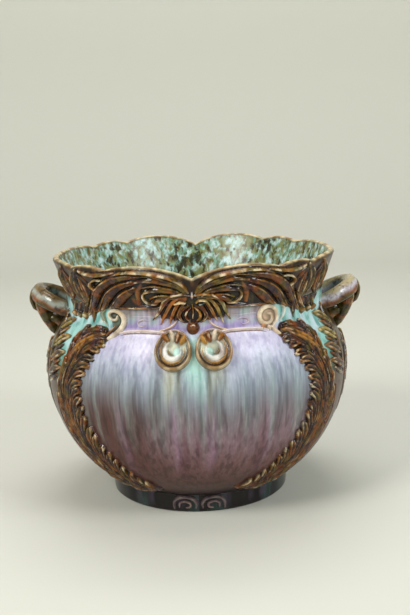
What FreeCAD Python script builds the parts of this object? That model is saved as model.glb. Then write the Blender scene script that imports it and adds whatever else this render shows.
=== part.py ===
import FreeCAD, Part
import math
import os
import Sketcher

# Glazed earthenware cachepot in millimetres: +Z up, the table at z = 0, the front towards -Y and the handles
# along X. A thrown bowl, a foot ring and a scalloped collar are luted together and dressed with pressed sprigs.

doc = FreeCAD.newDocument("Cachepot")

# Driving dimensions, lengths in millimetres and angles in degrees
DIMENSIONS = {
    # foot ring and floor
    "foot_radius": 84,
    "foot_taper": 2,
    "foot_height": 18,
    "foot_width": 15,
    "foot_step": 3,
    "floor_thickness": 8,
    "boss_depth": 3,
    "boss_clearance": 0.3,
    # bowl and collar
    "wall": 6,
    "belly_radius": 138,
    "belly_height": 118,
    "waist": 20.5,
    "shoulder_rise": 64,
    "shoulder_share": 0.726,
    "throat_radius": 40,
    "flare_angle": 20,
    "collar_height": 43,
    "lap_height": 5,
    # scallops of the rim, from the front notch to the handle, their widths in shares of the neck's radius
    "notch_depth": 10.5,
    "crest_share": 0.3745,
    "dip_share": 0.63,
    "dip_depth": 4.5,
    "mid_lobe_share": 0.264,
    "mid_lobe_rise": 3,
    "side_lobe_share": 0.298,
    "side_lobe_rise": 2.8,
    # how far the sprigs stand out of the wall
    "relief_low": 2.5,
    "relief_mid": 4,
    "relief_high": 6,
    # ear handles
    "loop_radius": 25,
    "loop_overhang": 13,
    "loop_lift": 15,
    "loop_tilt": 24,
    "strap_width": 13,
    "strap_thickness": 15,
    "bracket_width": 30,
    "bracket_thickness": 15,
    "bracket_foot_width": 14,
    "bracket_foot_drop": 33,
    # frieze under the rim, widths in shares of the neck's radius
    "collar_leaf_azimuth": 24,
    "collar_leaf_share": 0.834,
    "palmette_share": 0.4766,
    "bead_radius": 5.5,
    "bead_drop": 8,
    "petal_inner_azimuth": 50.5,
    "petal_inner_share": 0.1957,
    "petal_outer_azimuth": 62.5,
    "petal_outer_share": 0.1872,
    "drop_radius": 3.6,
    "drop_azimuth": 51,
    "drop_pitch": 4.6,
    "drop_fall": 4,
    # panel head, widths in shares of the neck's radius
    "volute_share": 0.1277,
    "volute_gap": 1.2,
    "volute_fall": 25.5,
    "volute_rib": 3.6,
    "shoulder_scroll_azimuth": 31.5,
    "shoulder_scroll_share": 0.17,
    "shoulder_scroll_height": 24,
    "shoulder_scroll_rise": 6,
    "cord_azimuth": 20.5,
    "cord_share": 0.238,
    "cord_width": 2.6,
    "cord_fall": 12,
    "cord_dip": 4,
    # panel sides and side leaves, in shares of the belly's radius, and foot scrolls, in shares of the foot's
    "garland_azimuth": 44,
    "garland_top_fall": 19,
    "garland_bottom_rise": 9,
    "garland_bow_share": 0.377,
    "garland_share": 0.2464,
    "garland_tip_share": 0.065,
    "spray_azimuth": 64,
    "spray_share": 0.1667,
    "spray_height": 50,
    "spray_fall": 8,
    "side_leaf_share": 0.435,
    "side_leaf_top_fall": 37,
    "side_leaf_bottom_rise": 11,
    "foot_scroll_share": 0.238,
    "foot_scroll_gap": 4,
    "foot_scroll_margin": 2,
    "foot_relief": 4,
}

sheet = doc.addObject("Spreadsheet::Sheet", "Dimensions")
for row, (alias, value) in enumerate(DIMENSIONS.items(), 1):
    sheet.set(f"A{row}", alias)
    sheet.set(f"B{row}", str(value))
    sheet.setAlias(f"B{row}", alias)
doc.recompute()


class Size:
    """A size: its value now, and the text that follows the sheet's cells."""

    def __init__(self, value, text):
        self.value = float(value)
        self.text = text

    @staticmethod
    def of(number):
        return number if isinstance(number, Size) else Size(number, f"({number:g})")

    def join(self, other, value, sign, flip=False):
        first, second = (other, self) if flip else (self, other)
        return Size(value, f"({first.text} {sign} {second.text})")

    def __add__(self, other):
        other = Size.of(other)
        return self.join(other, self.value + other.value, "+")

    def __sub__(self, other):
        other = Size.of(other)
        return self.join(other, self.value - other.value, "-")

    def __mul__(self, other):
        other = Size.of(other)
        return self.join(other, self.value * other.value, "*")

    def __truediv__(self, other):
        other = Size.of(other)
        return self.join(other, self.value / other.value, "/")

    def __rsub__(self, other):
        other = Size.of(other)
        return self.join(other, other.value - self.value, "-", flip=True)

    __radd__ = __add__
    __rmul__ = __mul__

    def root(self):
        return Size(math.sqrt(self.value), f"sqrt({self.text})")

    def cos(self):
        return Size(math.cos(math.radians(self.value)), f"cos({self.text})")

    def sin(self):
        return Size(math.sin(math.radians(self.value)), f"sin({self.text})")

    def tan(self):
        return Size(math.tan(math.radians(self.value)), f"tan({self.text})")


def size(alias):
    return Size(sheet.get(alias), f"Dimensions.{alias}")


def bind(thing, path, value):
    """Set one property from a size and keep it tied to the sheet."""
    thing.setExpression(path, Size.of(value).text)


# Drawing: an outline is a list of (x, y) corners, and a via point between two corners makes their edge an arc

def via(x, y):
    return (x, y, "via")


def pin_point(sketch, geometry, end, x, y):
    """Fix a point of the sketch at the sizes x and y."""
    for kind, length in (("DistanceX", x), ("DistanceY", y)):
        index = sketch.addConstraint(Sketcher.Constraint(kind, -1, 1, geometry, end, length.value))
        sketch.setExpression(f"Constraints[{index}]", length.text)


def arc_through(start, middle, end):
    """The arc as Sketcher keeps it, anticlockwise, and whether that runs from end to start."""
    circle = Part.Circle(start, middle, end)
    turn = (middle - start).cross(end - middle).z
    first, last = (start, end) if turn > 0 else (end, start)
    angles = [math.atan2(p.y - circle.Center.y, p.x - circle.Center.x) for p in (first, last)]
    if angles[1] < angles[0]:
        angles[1] += 2 * math.pi
    flat = Part.Circle(circle.Center, FreeCAD.Vector(0, 0, 1), circle.Radius)
    return Part.ArcOfCircle(flat, angles[0], angles[1]), turn <= 0


def draw(sketch, outline):
    """Close the outline through its corners with lines and arcs, every point pinned to its sizes."""
    points = [(Size.of(p[0]), Size.of(p[1]), len(p) > 2) for p in outline]
    vectors = [FreeCAD.Vector(x.value, y.value, 0) for x, y, _ in points]
    count = len(points)
    ends = []
    for i, (x, y, bends) in enumerate(points):
        if bends:
            continue
        after = (i + 1) % count
        if points[after][2]:
            last = (i + 2) % count
            arc, reverse = arc_through(vectors[i], vectors[after], vectors[last])
            edge = sketch.addGeometry(arc, False)
            mark = sketch.addGeometry(Part.Point(vectors[after]), True)
            pin_point(sketch, mark, 1, points[after][0], points[after][1])
            sketch.addConstraint(Sketcher.Constraint("PointOnObject", mark, 1, edge))
        else:
            reverse = False
            edge = sketch.addGeometry(Part.LineSegment(vectors[i], vectors[after]), False)
        ends.append((edge, 2 if reverse else 1, 1 if reverse else 2, x, y))
    for now, (edge, start, stop, x, y) in enumerate(ends):
        before = ends[now - 1]
        sketch.addConstraint(Sketcher.Constraint("Coincident", before[0], before[2], edge, start))
        pin_point(sketch, edge, start, x, y)


def mirrored_outline(half):
    """An outline that runs down its right half from the axis, completed with its left half."""
    left = [(0 - Size.of(p[0]), *p[1:]) for p in reversed(half[1:-1])]
    return list(half) + left


def new_body(label):
    body = doc.addObject("PartDesign::Body", label)
    body.Label = label
    return body


def plane_of(body, role):
    return next(f for f in body.Origin.OriginFeatures if f.Role == role)


def body_sketch(body, role, name):
    sketch = body.newObject("Sketcher::SketchObject", name)
    sketch.AttachmentSupport = (plane_of(body, role), [""])
    sketch.MapMode = "FlatFace"
    return sketch


def turned(label, outline):
    """A body turned on the wheel: its outline in the XZ plane, once round the Z axis."""
    body = new_body(label)
    sketch = body_sketch(body, "XZ_Plane", f"{label}_profile")
    draw(sketch, outline)
    revolution = body.newObject("PartDesign::Revolution", f"{label}_turning")
    revolution.Profile = sketch
    revolution.ReferenceAxis = (sketch, ["V_Axis"])
    revolution.Angle = 360
    sketch.Visibility = False
    return body


# The pot's outer line, and lines parallel to it. Each stretch is an arc that meets the next one smoothly.

belly_radius, belly_height = size("belly_radius"), size("belly_height")
waist, shoulder_rise, collar_height = size("waist"), size("shoulder_rise"), size("collar_height")
foot_radius, foot_height = size("foot_radius"), size("foot_height")
wall, lap_height = size("wall"), size("lap_height")
throat_arc, flare = size("throat_radius"), size("flare_angle")
neck_radius, neck_height = belly_radius - waist, belly_height + shoulder_rise
rim_height = neck_height + collar_height

# The lower belly's arc runs upright at the belly and ends a step outside the foot
undercut = belly_radius - foot_radius - size("foot_step")
lower_rise = belly_height - foot_height
lower_arc = (undercut * undercut + lower_rise * lower_rise) / (undercut * 2)
# The shoulder's and the neck's arcs share the turn from the belly in to the waist
arcs_sum = (waist * waist + shoulder_rise * shoulder_rise) / (waist * 2)
shoulder_arc = arcs_sum * size("shoulder_share")
shoulder_centre = belly_radius - shoulder_arc
neck_arc = arcs_sum - shoulder_arc
neck_centre = neck_radius + neck_arc


def lower_belly_x(height, grow):
    """Radius of the lower belly at a height, on the line grown outward by that much."""
    reach = lower_arc + grow
    fall = belly_height - height
    return belly_radius - lower_arc + (reach * reach - fall * fall).root()


def shoulder_turn(grow):
    """Where the shoulder's arc runs over into the neck's."""
    share = (shoulder_arc + grow) / arcs_sum
    return shoulder_centre + (neck_centre - shoulder_centre) * share, belly_height + shoulder_rise * share


def throat_end(grow):
    """Where the neck's upper arc runs over into the straight flare."""
    radius = throat_arc - grow
    return neck_radius + throat_arc - radius * flare.cos(), neck_height + radius * flare.sin()


def flare_x(height, grow):
    x, z = throat_end(grow)
    return x + (height - z) * flare.tan()


def on_arc(centre_x, centre_z, radius, height, side):
    """Point of an arc at a height, right or left of its centre."""
    rise = height - centre_z
    return centre_x + (radius * radius - rise * rise).root() * side, height


def lower_via(low, grow):
    middle = (Size.of(low) + belly_height) / 2
    return via(lower_belly_x(middle, grow), middle)


def shoulder_via(grow):
    _, high = shoulder_turn(grow)
    return via(*on_arc(shoulder_centre, belly_height, shoulder_arc + grow, (belly_height + high) / 2, 1))


def neck_via(grow):
    _, low = shoulder_turn(grow)
    return via(*on_arc(neck_centre, neck_height, neck_arc - grow, (low + neck_height) / 2, -1))


def throat_via(low, high, grow):
    middle = (low + high) / 2
    return via(*on_arc(neck_radius + throat_arc, neck_height, throat_arc - grow, middle, -1))


def pot_form(label, grow):
    """The whole pot as a full solid, grown outward. Sprigs are shaped between two of these."""
    grow = Size.of(grow)
    return turned(label, [
        (0, foot_height),
        (lower_belly_x(foot_height, grow), foot_height),
        lower_via(foot_height, grow),
        (belly_radius + grow, belly_height),
        shoulder_via(grow),
        shoulder_turn(grow),
        neck_via(grow),
        (neck_radius + grow, neck_height),
        throat_via(neck_height, throat_end(grow)[1], grow),
        throat_end(grow),
        (flare_x(rim_height, grow), rim_height),
        (0, rim_height),
    ])


def make_bowl():
    """The belly with its floor, the lip that the collar laps and the boss that the foot ring fits round."""
    inside = 0 - wall
    floor = foot_height + size("floor_thickness")
    boss_radius = foot_radius - size("foot_width") - size("boss_clearance")
    boss_low = foot_height - size("boss_depth")
    lip_top = neck_height + lap_height
    lip_radius = neck_radius - wall / 2
    return turned("bowl", [
        (0, boss_low),
        (boss_radius, boss_low),
        (boss_radius, foot_height),
        (lower_belly_x(foot_height, 0), foot_height),
        lower_via(foot_height, 0),
        (belly_radius, belly_height),
        shoulder_via(0),
        shoulder_turn(0),
        neck_via(0),
        (neck_radius, neck_height),
        (lip_radius, neck_height),
        (lip_radius, lip_top),
        on_arc(neck_radius + throat_arc, neck_height, throat_arc + wall, lip_top, -1),
        throat_via(neck_height, lip_top, inside),
        (neck_radius - wall, neck_height),
        neck_via(inside),
        shoulder_turn(inside),
        shoulder_via(inside),
        (belly_radius - wall, belly_height),
        lower_via(floor, inside),
        (lower_belly_x(floor, inside), floor),
        (0, floor),
    ])


def make_foot_ring():
    foot_width = size("foot_width")
    return turned("foot_ring", [
        (foot_radius - foot_width, 0),
        (foot_radius - size("foot_taper"), 0),
        (foot_radius, foot_height),
        (foot_radius - foot_width, foot_height),
    ])


def make_collar():
    """The flaring collar, lapped over the bowl's lip, with the rim cut to its scallops."""
    inside = 0 - wall
    lip_top = neck_height + lap_height
    lip_radius = neck_radius - wall / 2
    collar = turned("collar", [
        (lip_radius, neck_height),
        (neck_radius, neck_height),
        throat_via(neck_height, throat_end(0)[1], 0),
        throat_end(0),
        (flare_x(rim_height, 0), rim_height),
        (flare_x(rim_height, inside), rim_height),
        throat_end(inside),
        throat_via(lip_top, throat_end(inside)[1], inside),
        on_arc(neck_radius + throat_arc, neck_height, throat_arc + wall, lip_top, -1),
        (lip_radius, lip_top),
    ])
    dip_reach, dip_level = neck_radius * size("dip_share"), rim_height - size("dip_depth")
    mid_width, side_width = neck_radius * size("mid_lobe_share"), neck_radius * size("side_lobe_share")
    mid_end = dip_reach + mid_width
    side_end = mid_end + side_width
    above = rim_height + collar_height
    scallops = body_sketch(collar, "XZ_Plane", "rim_scallops")
    draw(scallops, [
        (0, rim_height - size("notch_depth")),
        via(neck_radius * size("crest_share"), rim_height),
        (dip_reach, dip_level),
        via(dip_reach + mid_width / 2, dip_level + size("mid_lobe_rise")),
        (mid_end, dip_level),
        via(mid_end + side_width / 2, dip_level + size("side_lobe_rise")),
        (side_end, dip_level),
        (side_end, above),
        (0, above),
    ])
    cut = collar.newObject("PartDesign::Pocket", "rim_cut")
    cut.Profile = scallops
    cut.Midplane = True
    cut.Type = 0
    bind(cut, "Length", belly_radius * 4)
    both = collar.newObject("PartDesign::Mirrored", "rim_cut_both")
    both.Originals = [cut]
    both.MirrorPlane = (plane_of(collar, "YZ_Plane"), [""])
    collar.Tip = both
    scallops.Visibility = False
    return collar


# Sprigs: an outline beside the pot's axis, pressed outward and kept between the wall and a relief level

def boolean(kind, label, base, tool):
    result = doc.addObject(f"Part::{kind}", label)
    result.Base = base
    result.Tool = tool
    return result


def joined(label, pieces):
    result = doc.addObject("Part::MultiFuse", label)
    result.Shapes = pieces
    return result


def prism(label, azimuth, outline):
    """The outline drawn upright on the axis and run outward at an azimuth from the front."""
    sketch = doc.addObject("Sketcher::SketchObject", f"{label}_outline")
    draw(sketch, outline)
    turn = Size.of(azimuth).text
    sketch.setExpression("Placement", f"placement(vector(0; 0; 0); rotation({turn}; 0; 90))")
    run = doc.addObject("Part::Extrusion", f"{label}_run")
    run.Base = sketch
    run.DirMode = "Normal"
    run.Solid = True
    bind(run, "LengthFwd", belly_radius * 2)
    return run


def sprig(label, azimuth, outline, layer):
    return boolean("Common", label, prism(label, azimuth, outline), layer)


def scaled(outline, width, height, base, centre=0):
    """An outline given in shares of its own width and height, at its size."""
    return [(p[0] * width + centre, p[1] * height + base, *p[2:]) for p in outline]


def shape_collar_leaf(levels, palmette):
    """Acanthus wing that follows the rim from the notch and sweeps down to a tail, with a raised ridge."""
    blade = [
        (-0.49, 0.36), (-0.49, 0.68),
        via(-0.26, 0.84), (-0.04, 0.90),
        via(0.12, 0.89), (0.27, 0.82),
        (0.38, 0.76), via(0.43, 0.45), (0.44, 0.19),
        (0.50, -0.09), via(0.37, 0.10), (0.20, 0.19),
        (-0.14, 0.19), via(-0.33, 0.24),
    ]
    ridge = [
        (-0.47, 0.58), (-0.47, 0.65),
        via(-0.25, 0.81), (-0.04, 0.87),
        via(0.12, 0.86), (0.26, 0.79),
        (0.36, 0.73), via(0.41, 0.45), (0.42, 0.20),
        (0.38, 0.20), via(0.37, 0.42), (0.32, 0.60),
        (0.25, 0.65), via(0.12, 0.72), (-0.04, 0.73),
        via(-0.25, 0.69),
    ]
    azimuth, length = size("collar_leaf_azimuth"), neck_radius * size("collar_leaf_share")
    wings = []
    for label, outline, level in (("blade", blade, "mid"), ("ridge", ridge, "high")):
        sized = scaled(outline, length, collar_height, neck_height)
        wings.append(sprig(f"collar_leaf_{label}", azimuth, sized, levels[level]))
    wing = joined("collar_leaf_wing", wings)
    return boolean("Cut", "collar_leaf", wing, palmette)


def shape_palmette(levels, bead):
    """Leaf cluster with two drooping strands, cut out round the bead that hangs from it."""
    half = [
        (0, 0.47), via(0.12, 0.54), (0.25, 0.44),
        via(0.40, 0.42), (0.50, 0.23),
        via(0.52, 0.05), (0.45, -0.12),
        via(0.375, 0.05), (0.29, 0.09),
        via(0.21, -0.02), (0.125, -0.09),
        via(0.07, -0.12), (0, -0.13),
    ]
    outline = mirrored_outline(scaled(half, neck_radius * size("palmette_share"), collar_height, neck_height))
    return boolean("Cut", "palmette", sprig("palmette_leaves", 0, outline, levels["high"]), bead)


def ball(label, radius, azimuth, height, wall_x):
    """A bead of clay with its middle in the wall."""
    sphere = doc.addObject("Part::Sphere", label)
    bind(sphere, "Radius", radius)
    out = Size.of(wall_x)
    bind(sphere, "Placement.Base.x", out * Size.of(azimuth).sin())
    bind(sphere, "Placement.Base.y", 0 - out * Size.of(azimuth).cos())
    bind(sphere, "Placement.Base.z", height)
    return sphere


def neck_x(height):
    """Radius of the pot just under the neck, on the neck's lower arc."""
    return on_arc(neck_centre, neck_height, neck_arc, height, -1)[0]


def shape_bead(form):
    height = neck_height - size("bead_drop")
    bead = ball("bead_ball", size("bead_radius"), 0, height, neck_x(height))
    return boolean("Cut", "bead_drop", bead, form)


def shape_collar_drops(form):
    """Three drops in a row below the end of the collar leaf."""
    height = neck_height - size("drop_fall")
    drops = []
    for number in range(3):
        azimuth = size("drop_azimuth") + size("drop_pitch") * number
        drop_ball = ball(f"drop_ball_{number}", size("drop_radius"), azimuth, height, neck_x(height))
        drops.append(boolean("Cut", f"drop_{number}", drop_ball, form))
    group = doc.addObject("Part::Compound", "collar_drops")
    group.Links = drops
    return group


def shape_volute(levels):
    """Round scroll: a disc with a raised rib that winds one turn and a half inward."""
    radius, rib = neck_radius * size("volute_share"), size("volute_rib")
    centre_x, centre_z = radius + size("volute_gap") / 2, neck_height - size("volute_fall")
    disc = [
        (centre_x - radius, centre_z), via(centre_x, centre_z + radius),
        (centre_x + radius, centre_z), via(centre_x, centre_z - radius),
    ]
    # Half turns of the rib's outer edge, each smaller by half a rib and centred on the last one's middle
    steps = 3
    outer, inner = [], []
    side = 1
    middle, reach = centre_x, radius
    for step in range(steps):
        outer += [(middle - reach * side, centre_z), via(middle, centre_z + reach * side)]
        thin = reach - rib * (1 - 0.15 * step)
        inner += [(middle - thin * side, centre_z), via(middle, centre_z + thin * side)]
        end, end_thin = middle + reach * side, middle + thin * side
        reach = reach - rib * 0.75
        middle = end - reach * side
        side = -side
    tip = [(end, centre_z), (end_thin, centre_z)]
    back = list(reversed(inner))
    rib_line = outer + tip + back
    flat = sprig("volute_disc", 0, disc, levels["low"])
    high = sprig("volute_rib", 0, rib_line, levels["high"])
    return joined("volute", [flat, high])


def shape_shoulder_scroll(levels):
    """Hooked curl with a short stem, at the panel's upper corner."""
    hook = [
        (0.05, 0), via(0.46, 0.28), (0.50, 0.60),
        via(0, 1), (-0.50, 0.60),
        via(-0.34, 0.34), (-0.06, 0.28),
        via(-0.12, 0.14), (-0.16, 0),
    ]
    top = neck_height + size("shoulder_scroll_rise")
    height = size("shoulder_scroll_height")
    outline = scaled(hook, neck_radius * size("shoulder_scroll_share"), height, top - height)
    return sprig("shoulder_scroll", size("shoulder_scroll_azimuth"), outline, levels["mid"])


def shape_panel_cord(levels):
    """Thin raised line along the head of the panel."""
    length, width = neck_radius * size("cord_share"), size("cord_width")
    dip = size("cord_dip")
    start, end = neck_height - size("cord_fall"), neck_height - size("cord_fall") - dip
    crown = end + dip * 0.7
    outline = [
        (length * -0.5, start), via(0, crown), (length * 0.5, end),
        (length * 0.5, end - width), via(0, crown - width), (length * -0.5, start - width),
    ]
    return sprig("panel_cord", size("cord_azimuth"), outline, levels["low"])


def shape_garland(levels):
    """Leafy border of the panel: lobes along both edges of a bowed band, and a stem down its middle."""
    top = neck_height - size("garland_top_fall")
    bottom = foot_height + size("garland_bottom_rise")
    bow = belly_radius * size("garland_bow_share")
    width, tip = belly_radius * size("garland_share"), belly_radius * size("garland_tip_share")
    lobes, notch_share, lobe_share = 8, 0.8, 1.02
    draw_in, low_lean, fullness = 0.62, 0.25, 0.8

    def middle_line(share):
        """Bowed out at mid height, drawn in at both ends, further at the bottom."""
        out = 4 * share * (1 - share)
        return bow * (out - draw_in - low_lean * (1 - share)), bottom + (top - bottom) * share

    def half_width(share):
        return tip / 2 + (width - tip) / 2 * math.sin(math.pi * share) ** fullness

    def edge_point(side, share, reach):
        x, z = middle_line(share)
        return x + half_width(share) * side * reach, z

    def edge(side, shares):
        """Notches at the shares, and a lobe between each two of them."""
        points = []
        for now, after in zip(shares, shares[1:]):
            points.append(edge_point(side, now, notch_share))
            points.append(via(*edge_point(side, (now + after) / 2, lobe_share)))
        points.append(edge_point(side, shares[-1], notch_share))
        return points

    shares = [number / lobes for number in range(lobes + 1)]
    blade = edge(1, shares) + edge(-1, shares[::-1])
    azimuth = size("garland_azimuth")
    leaves = sprig("garland_leaves", azimuth, blade, levels["mid"])
    stem_shares = [0.06, 0.5, 0.94]
    stem_half = tip / 3
    stem = []
    for side, order in ((1, stem_shares), (-1, stem_shares[::-1])):
        for number, share in enumerate(order):
            x, z = middle_line(share)
            point = (x + stem_half * side, z)
            stem.append(via(*point) if number == 1 else point)
    stalk = sprig("garland_stem", azimuth, stem, levels["high"])
    return joined("garland", [leaves, stalk])


def shape_petal(label, azimuth, share, levels):
    """Arched petal that stands on its point under the rim."""
    petal = [
        (0, 0.22), via(0.40, 0.40), (0.46, 0.62),
        via(0.30, 0.78), (0, 0.83),
        via(-0.30, 0.78), (-0.46, 0.62),
        via(-0.40, 0.40),
    ]
    outline = scaled(petal, neck_radius * share, collar_height, neck_height)
    return sprig(label, azimuth, outline, levels["mid"])


def shape_side_spray(levels):
    """Four leaf tips that fan forward from a stem beside the handle bracket."""
    spray = [
        (0.50, 0), (0.32, 0.08), via(-0.10, 0.06), (-0.50, 0.22),
        via(-0.06, 0.26), (0.28, 0.30), via(-0.16, 0.34), (-0.50, 0.54),
        via(-0.06, 0.56), (0.28, 0.54), via(-0.12, 0.62), (-0.42, 0.80),
        via(0, 0.80), (0.28, 0.74), via(0.16, 0.90), (0, 1),
        (0.50, 0.84),
    ]
    height = size("spray_height")
    base = neck_height - size("spray_fall") - height
    outline = scaled(spray, belly_radius * size("spray_share"), height, base)
    return sprig("side_spray", size("spray_azimuth"), outline, levels["mid"])


def shape_side_leaf(levels):
    """Long leaf down the side, from under the handle bracket to the foot."""
    half = [(0, 1), via(0.40, 0.94), (0.50, 0.78), via(0.34, 0.36), (0, 0)]
    base = foot_height + size("side_leaf_bottom_rise")
    height = neck_height - size("side_leaf_top_fall") - base
    outline = mirrored_outline(scaled(half, belly_radius * size("side_leaf_share"), height, base))
    return sprig("side_leaf", 90, outline, levels["low"])


def shape_foot_scroll():
    """Arched scroll on the foot ring's wall, one of a pair."""
    low = foot_radius - size("foot_taper")
    cones = []
    for label, grow in (("foot_form", Size.of(0)), ("foot_form_relief", size("foot_relief"))):
        cone = doc.addObject("Part::Cone", label)
        bind(cone, "Radius1", low + grow)
        bind(cone, "Radius2", foot_radius + grow)
        bind(cone, "Height", foot_height)
        cones.append(cone)
    layer = boolean("Cut", "foot_layer", cones[1], cones[0])
    hook = [
        (0, 0.10), via(0.06, 0.72), (0.48, 1),
        via(0.90, 0.74), (1, 0.24), (0.80, 0.24),
        via(0.72, 0.58), (0.50, 0.70),
        via(0.32, 0.52), (0.44, 0.34),
        via(0.36, 0.10), (0.20, 0),
    ]
    width, margin = foot_radius * size("foot_scroll_share"), size("foot_scroll_margin")
    outline = scaled(hook, width, foot_height - margin * 2, margin, size("foot_scroll_gap") / 2)
    return sprig("foot_scroll", 0, outline, layer)


# Handles: a tilted ear loop and the leaf bracket that carries it

loop_reach, loop_rise = belly_radius + size("loop_overhang"), neck_height + size("loop_lift")


def shape_handle_loop(form):
    """Strap bent to a U, tilted up and outward, its two legs ending on the pot's wall."""
    radius, tilt = size("loop_radius"), size("loop_tilt")
    strap, thick = size("strap_width"), size("strap_thickness")
    loop = new_body("handle_loop_strap")
    # The bend's centre stands back from the outermost point by the bend and half the strap
    run = (loop_reach - neck_radius) / tilt.cos() + radius
    leg = run - radius - strap / 2
    path = body_sketch(loop, "XY_Plane", "handle_path")
    start, turn_low, turn_high = (0, 0 - radius), (leg, 0 - radius), (leg, radius)
    lines = [(start, turn_low), (turn_high, (0, radius))]
    edges = []
    for first, last in lines:
        ends = [FreeCAD.Vector(Size.of(p[0]).value, Size.of(p[1]).value, 0) for p in (first, last)]
        edge = path.addGeometry(Part.LineSegment(*ends), False)
        edges.append(edge)
        for end, point in ((1, first), (2, last)):
            pin_point(path, edge, end, Size.of(point[0]), Size.of(point[1]))
    bend = Part.ArcOfCircle(
        Part.Circle(FreeCAD.Vector(leg.value, 0, 0), FreeCAD.Vector(0, 0, 1), radius.value),
        -math.pi / 2,
        math.pi / 2,
    )
    arc = path.addGeometry(bend, False)
    path.addConstraint(Sketcher.Constraint("Tangent", edges[0], 2, arc, 1))
    path.addConstraint(Sketcher.Constraint("Coincident", edges[1], 1, arc, 2))
    section = body_sketch(loop, "YZ_Plane", "handle_section")
    middle, side, crown = 0 - radius, strap / 2, thick / 2
    # A little fuller at the corners than a true oval, as hand-rolled clay is
    fullness = 0.74
    draw(section, [
        (middle + side, 0), via(middle + side * fullness, crown * fullness),
        (middle, crown), via(middle - side * fullness, crown * fullness),
        (middle - side, 0), via(middle - side * fullness, 0 - crown * fullness),
        (middle, 0 - crown), via(middle + side * fullness, 0 - crown * fullness),
    ])
    pipe = loop.newObject("PartDesign::AdditivePipe", "handle_strap")
    pipe.Profile = section
    pipe.Spine = (path, ["Edge1", "Edge3", "Edge2"])
    path.Visibility = False
    section.Visibility = False
    # The tilted strap's highest point is the outer edge of the bend
    reach = loop_reach - run * tilt.cos()
    base_z = loop_rise - run * tilt.sin() - thick / 2 * tilt.cos()
    turn = (0 - tilt).text
    place = f"placement(vector({reach.text}; 0; {base_z.text}); rotation(0; {turn}; 0))"
    loop.setExpression("Placement", place)
    return boolean("Cut", "handle_loop", loop, form)


def shape_handle_leaf(form, loop):
    """Curled leaf from the underside of the loop down to the shoulder."""
    tilt, thick, width = size("loop_tilt"), size("bracket_thickness"), size("bracket_width")
    foot_z = neck_height - size("bracket_foot_drop")
    foot_x = on_arc(shoulder_centre, belly_height, shoulder_arc, foot_z, 1)[0]
    # The leaf reaches up into the middle of the strap, which then cuts its seat
    strap_x = loop_reach - size("strap_width") / 2 * tilt.cos()
    top = loop_rise - size("strap_thickness") / 2 * tilt.cos() - size("strap_width") / 2 * tilt.sin()
    outer, inner = strap_x + thick * 0.2, strap_x - thick * 0.6
    middle = (top + foot_z) / 2
    # Under the fingers the leaf is solid clay from the wall out to its back
    seat_z, seat_x, wall_x = foot_z + thick * 1.4, foot_x - thick * 0.3, foot_x - thick
    bend = doc.addObject("Sketcher::SketchObject", "handle_leaf_side")
    draw(bend, [
        (inner, top), (outer, top), via(outer - thick * 0.25, middle), (foot_x + thick * 0.25, foot_z),
        (wall_x, foot_z), (wall_x, seat_z), (seat_x, seat_z), via(inner - thick * 0.05, seat_z + thick * 0.4),
    ])
    bend.setExpression("Placement", "placement(vector(0; 0; 0); rotation(0; 0; 90))")
    side = doc.addObject("Part::Extrusion", "handle_leaf_run")
    side.Base = bend
    side.DirMode = "Normal"
    side.Solid = True
    side.Symmetric = True
    bind(side, "LengthFwd", width)
    half = [
        (0, top + thick), (width / 2, top + thick), (width / 2, top - thick),
        via(width * 0.42, middle), (size("bracket_foot_width") / 2, foot_z), (0, foot_z),
    ]
    face = prism("handle_leaf_face", 90, mirrored_outline(half))
    leaf = boolean("Common", "handle_leaf_blank", side, face)
    trimmed = boolean("Cut", "handle_leaf_trimmed", leaf, form)
    return boolean("Cut", "handle_leaf", trimmed, loop)


# Copies: the right front sprig is pressed first, and its mould is mirrored for the other quarters

def reflected(source, label, normal):
    copy = doc.addObject("Part::Mirroring", label)
    copy.Source = source
    copy.Normal = normal
    copy.Label = label
    return copy


LEFT_RIGHT, FRONT_BACK = FreeCAD.Vector(1, 0, 0), FreeCAD.Vector(0, 1, 0)


def quarters(name, source):
    source.Label = f"{name}_front_right"
    back = reflected(source, f"{name}_back_right", FRONT_BACK)
    return [
        source,
        back,
        reflected(source, f"{name}_front_left", LEFT_RIGHT),
        reflected(back, f"{name}_back_left", LEFT_RIGHT),
    ]


def front_and_back(name, source):
    source.Label = f"{name}_front"
    return [source, reflected(source, f"{name}_back", FRONT_BACK)]


def right_and_left(name, source):
    source.Label = f"{name}_right"
    return [source, reflected(source, f"{name}_left", LEFT_RIGHT)]


def build():
    """Every sub-part of the pot, as labelled objects of the document."""
    form = pot_form("pot_form", 0)
    levels = {}
    for level in ("low", "mid", "high"):
        grown = pot_form(f"pot_form_{level}", size(f"relief_{level}"))
        levels[level] = boolean("Cut", f"relief_layer_{level}", grown, form)
    parts = [make_bowl(), make_foot_ring(), make_collar()]
    loop = shape_handle_loop(form)
    bead = shape_bead(form)
    palmette = shape_palmette(levels, bead)
    inner = shape_petal("petal_inner", size("petal_inner_azimuth"), size("petal_inner_share"), levels)
    outer = shape_petal("petal_outer", size("petal_outer_azimuth"), size("petal_outer_share"), levels)
    parts += right_and_left("handle_leaf", shape_handle_leaf(form, loop))
    parts += right_and_left("handle_loop", loop)
    parts += quarters("collar_leaf", shape_collar_leaf(levels, palmette))
    parts += front_and_back("palmette", palmette)
    parts += front_and_back("bead_drop", bead)
    parts += quarters("volute", shape_volute(levels))
    parts += quarters("shoulder_scroll", shape_shoulder_scroll(levels))
    parts += quarters("panel_cord", shape_panel_cord(levels))
    parts += quarters("garland", shape_garland(levels))
    parts += quarters("petal_inner", inner)
    parts += quarters("petal_outer", outer)
    parts += quarters("collar_drops", shape_collar_drops(form))
    parts += quarters("side_spray", shape_side_spray(levels))
    parts += right_and_left("side_leaf", shape_side_leaf(levels))
    parts += quarters("foot_scroll", shape_foot_scroll())
    return parts


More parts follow.
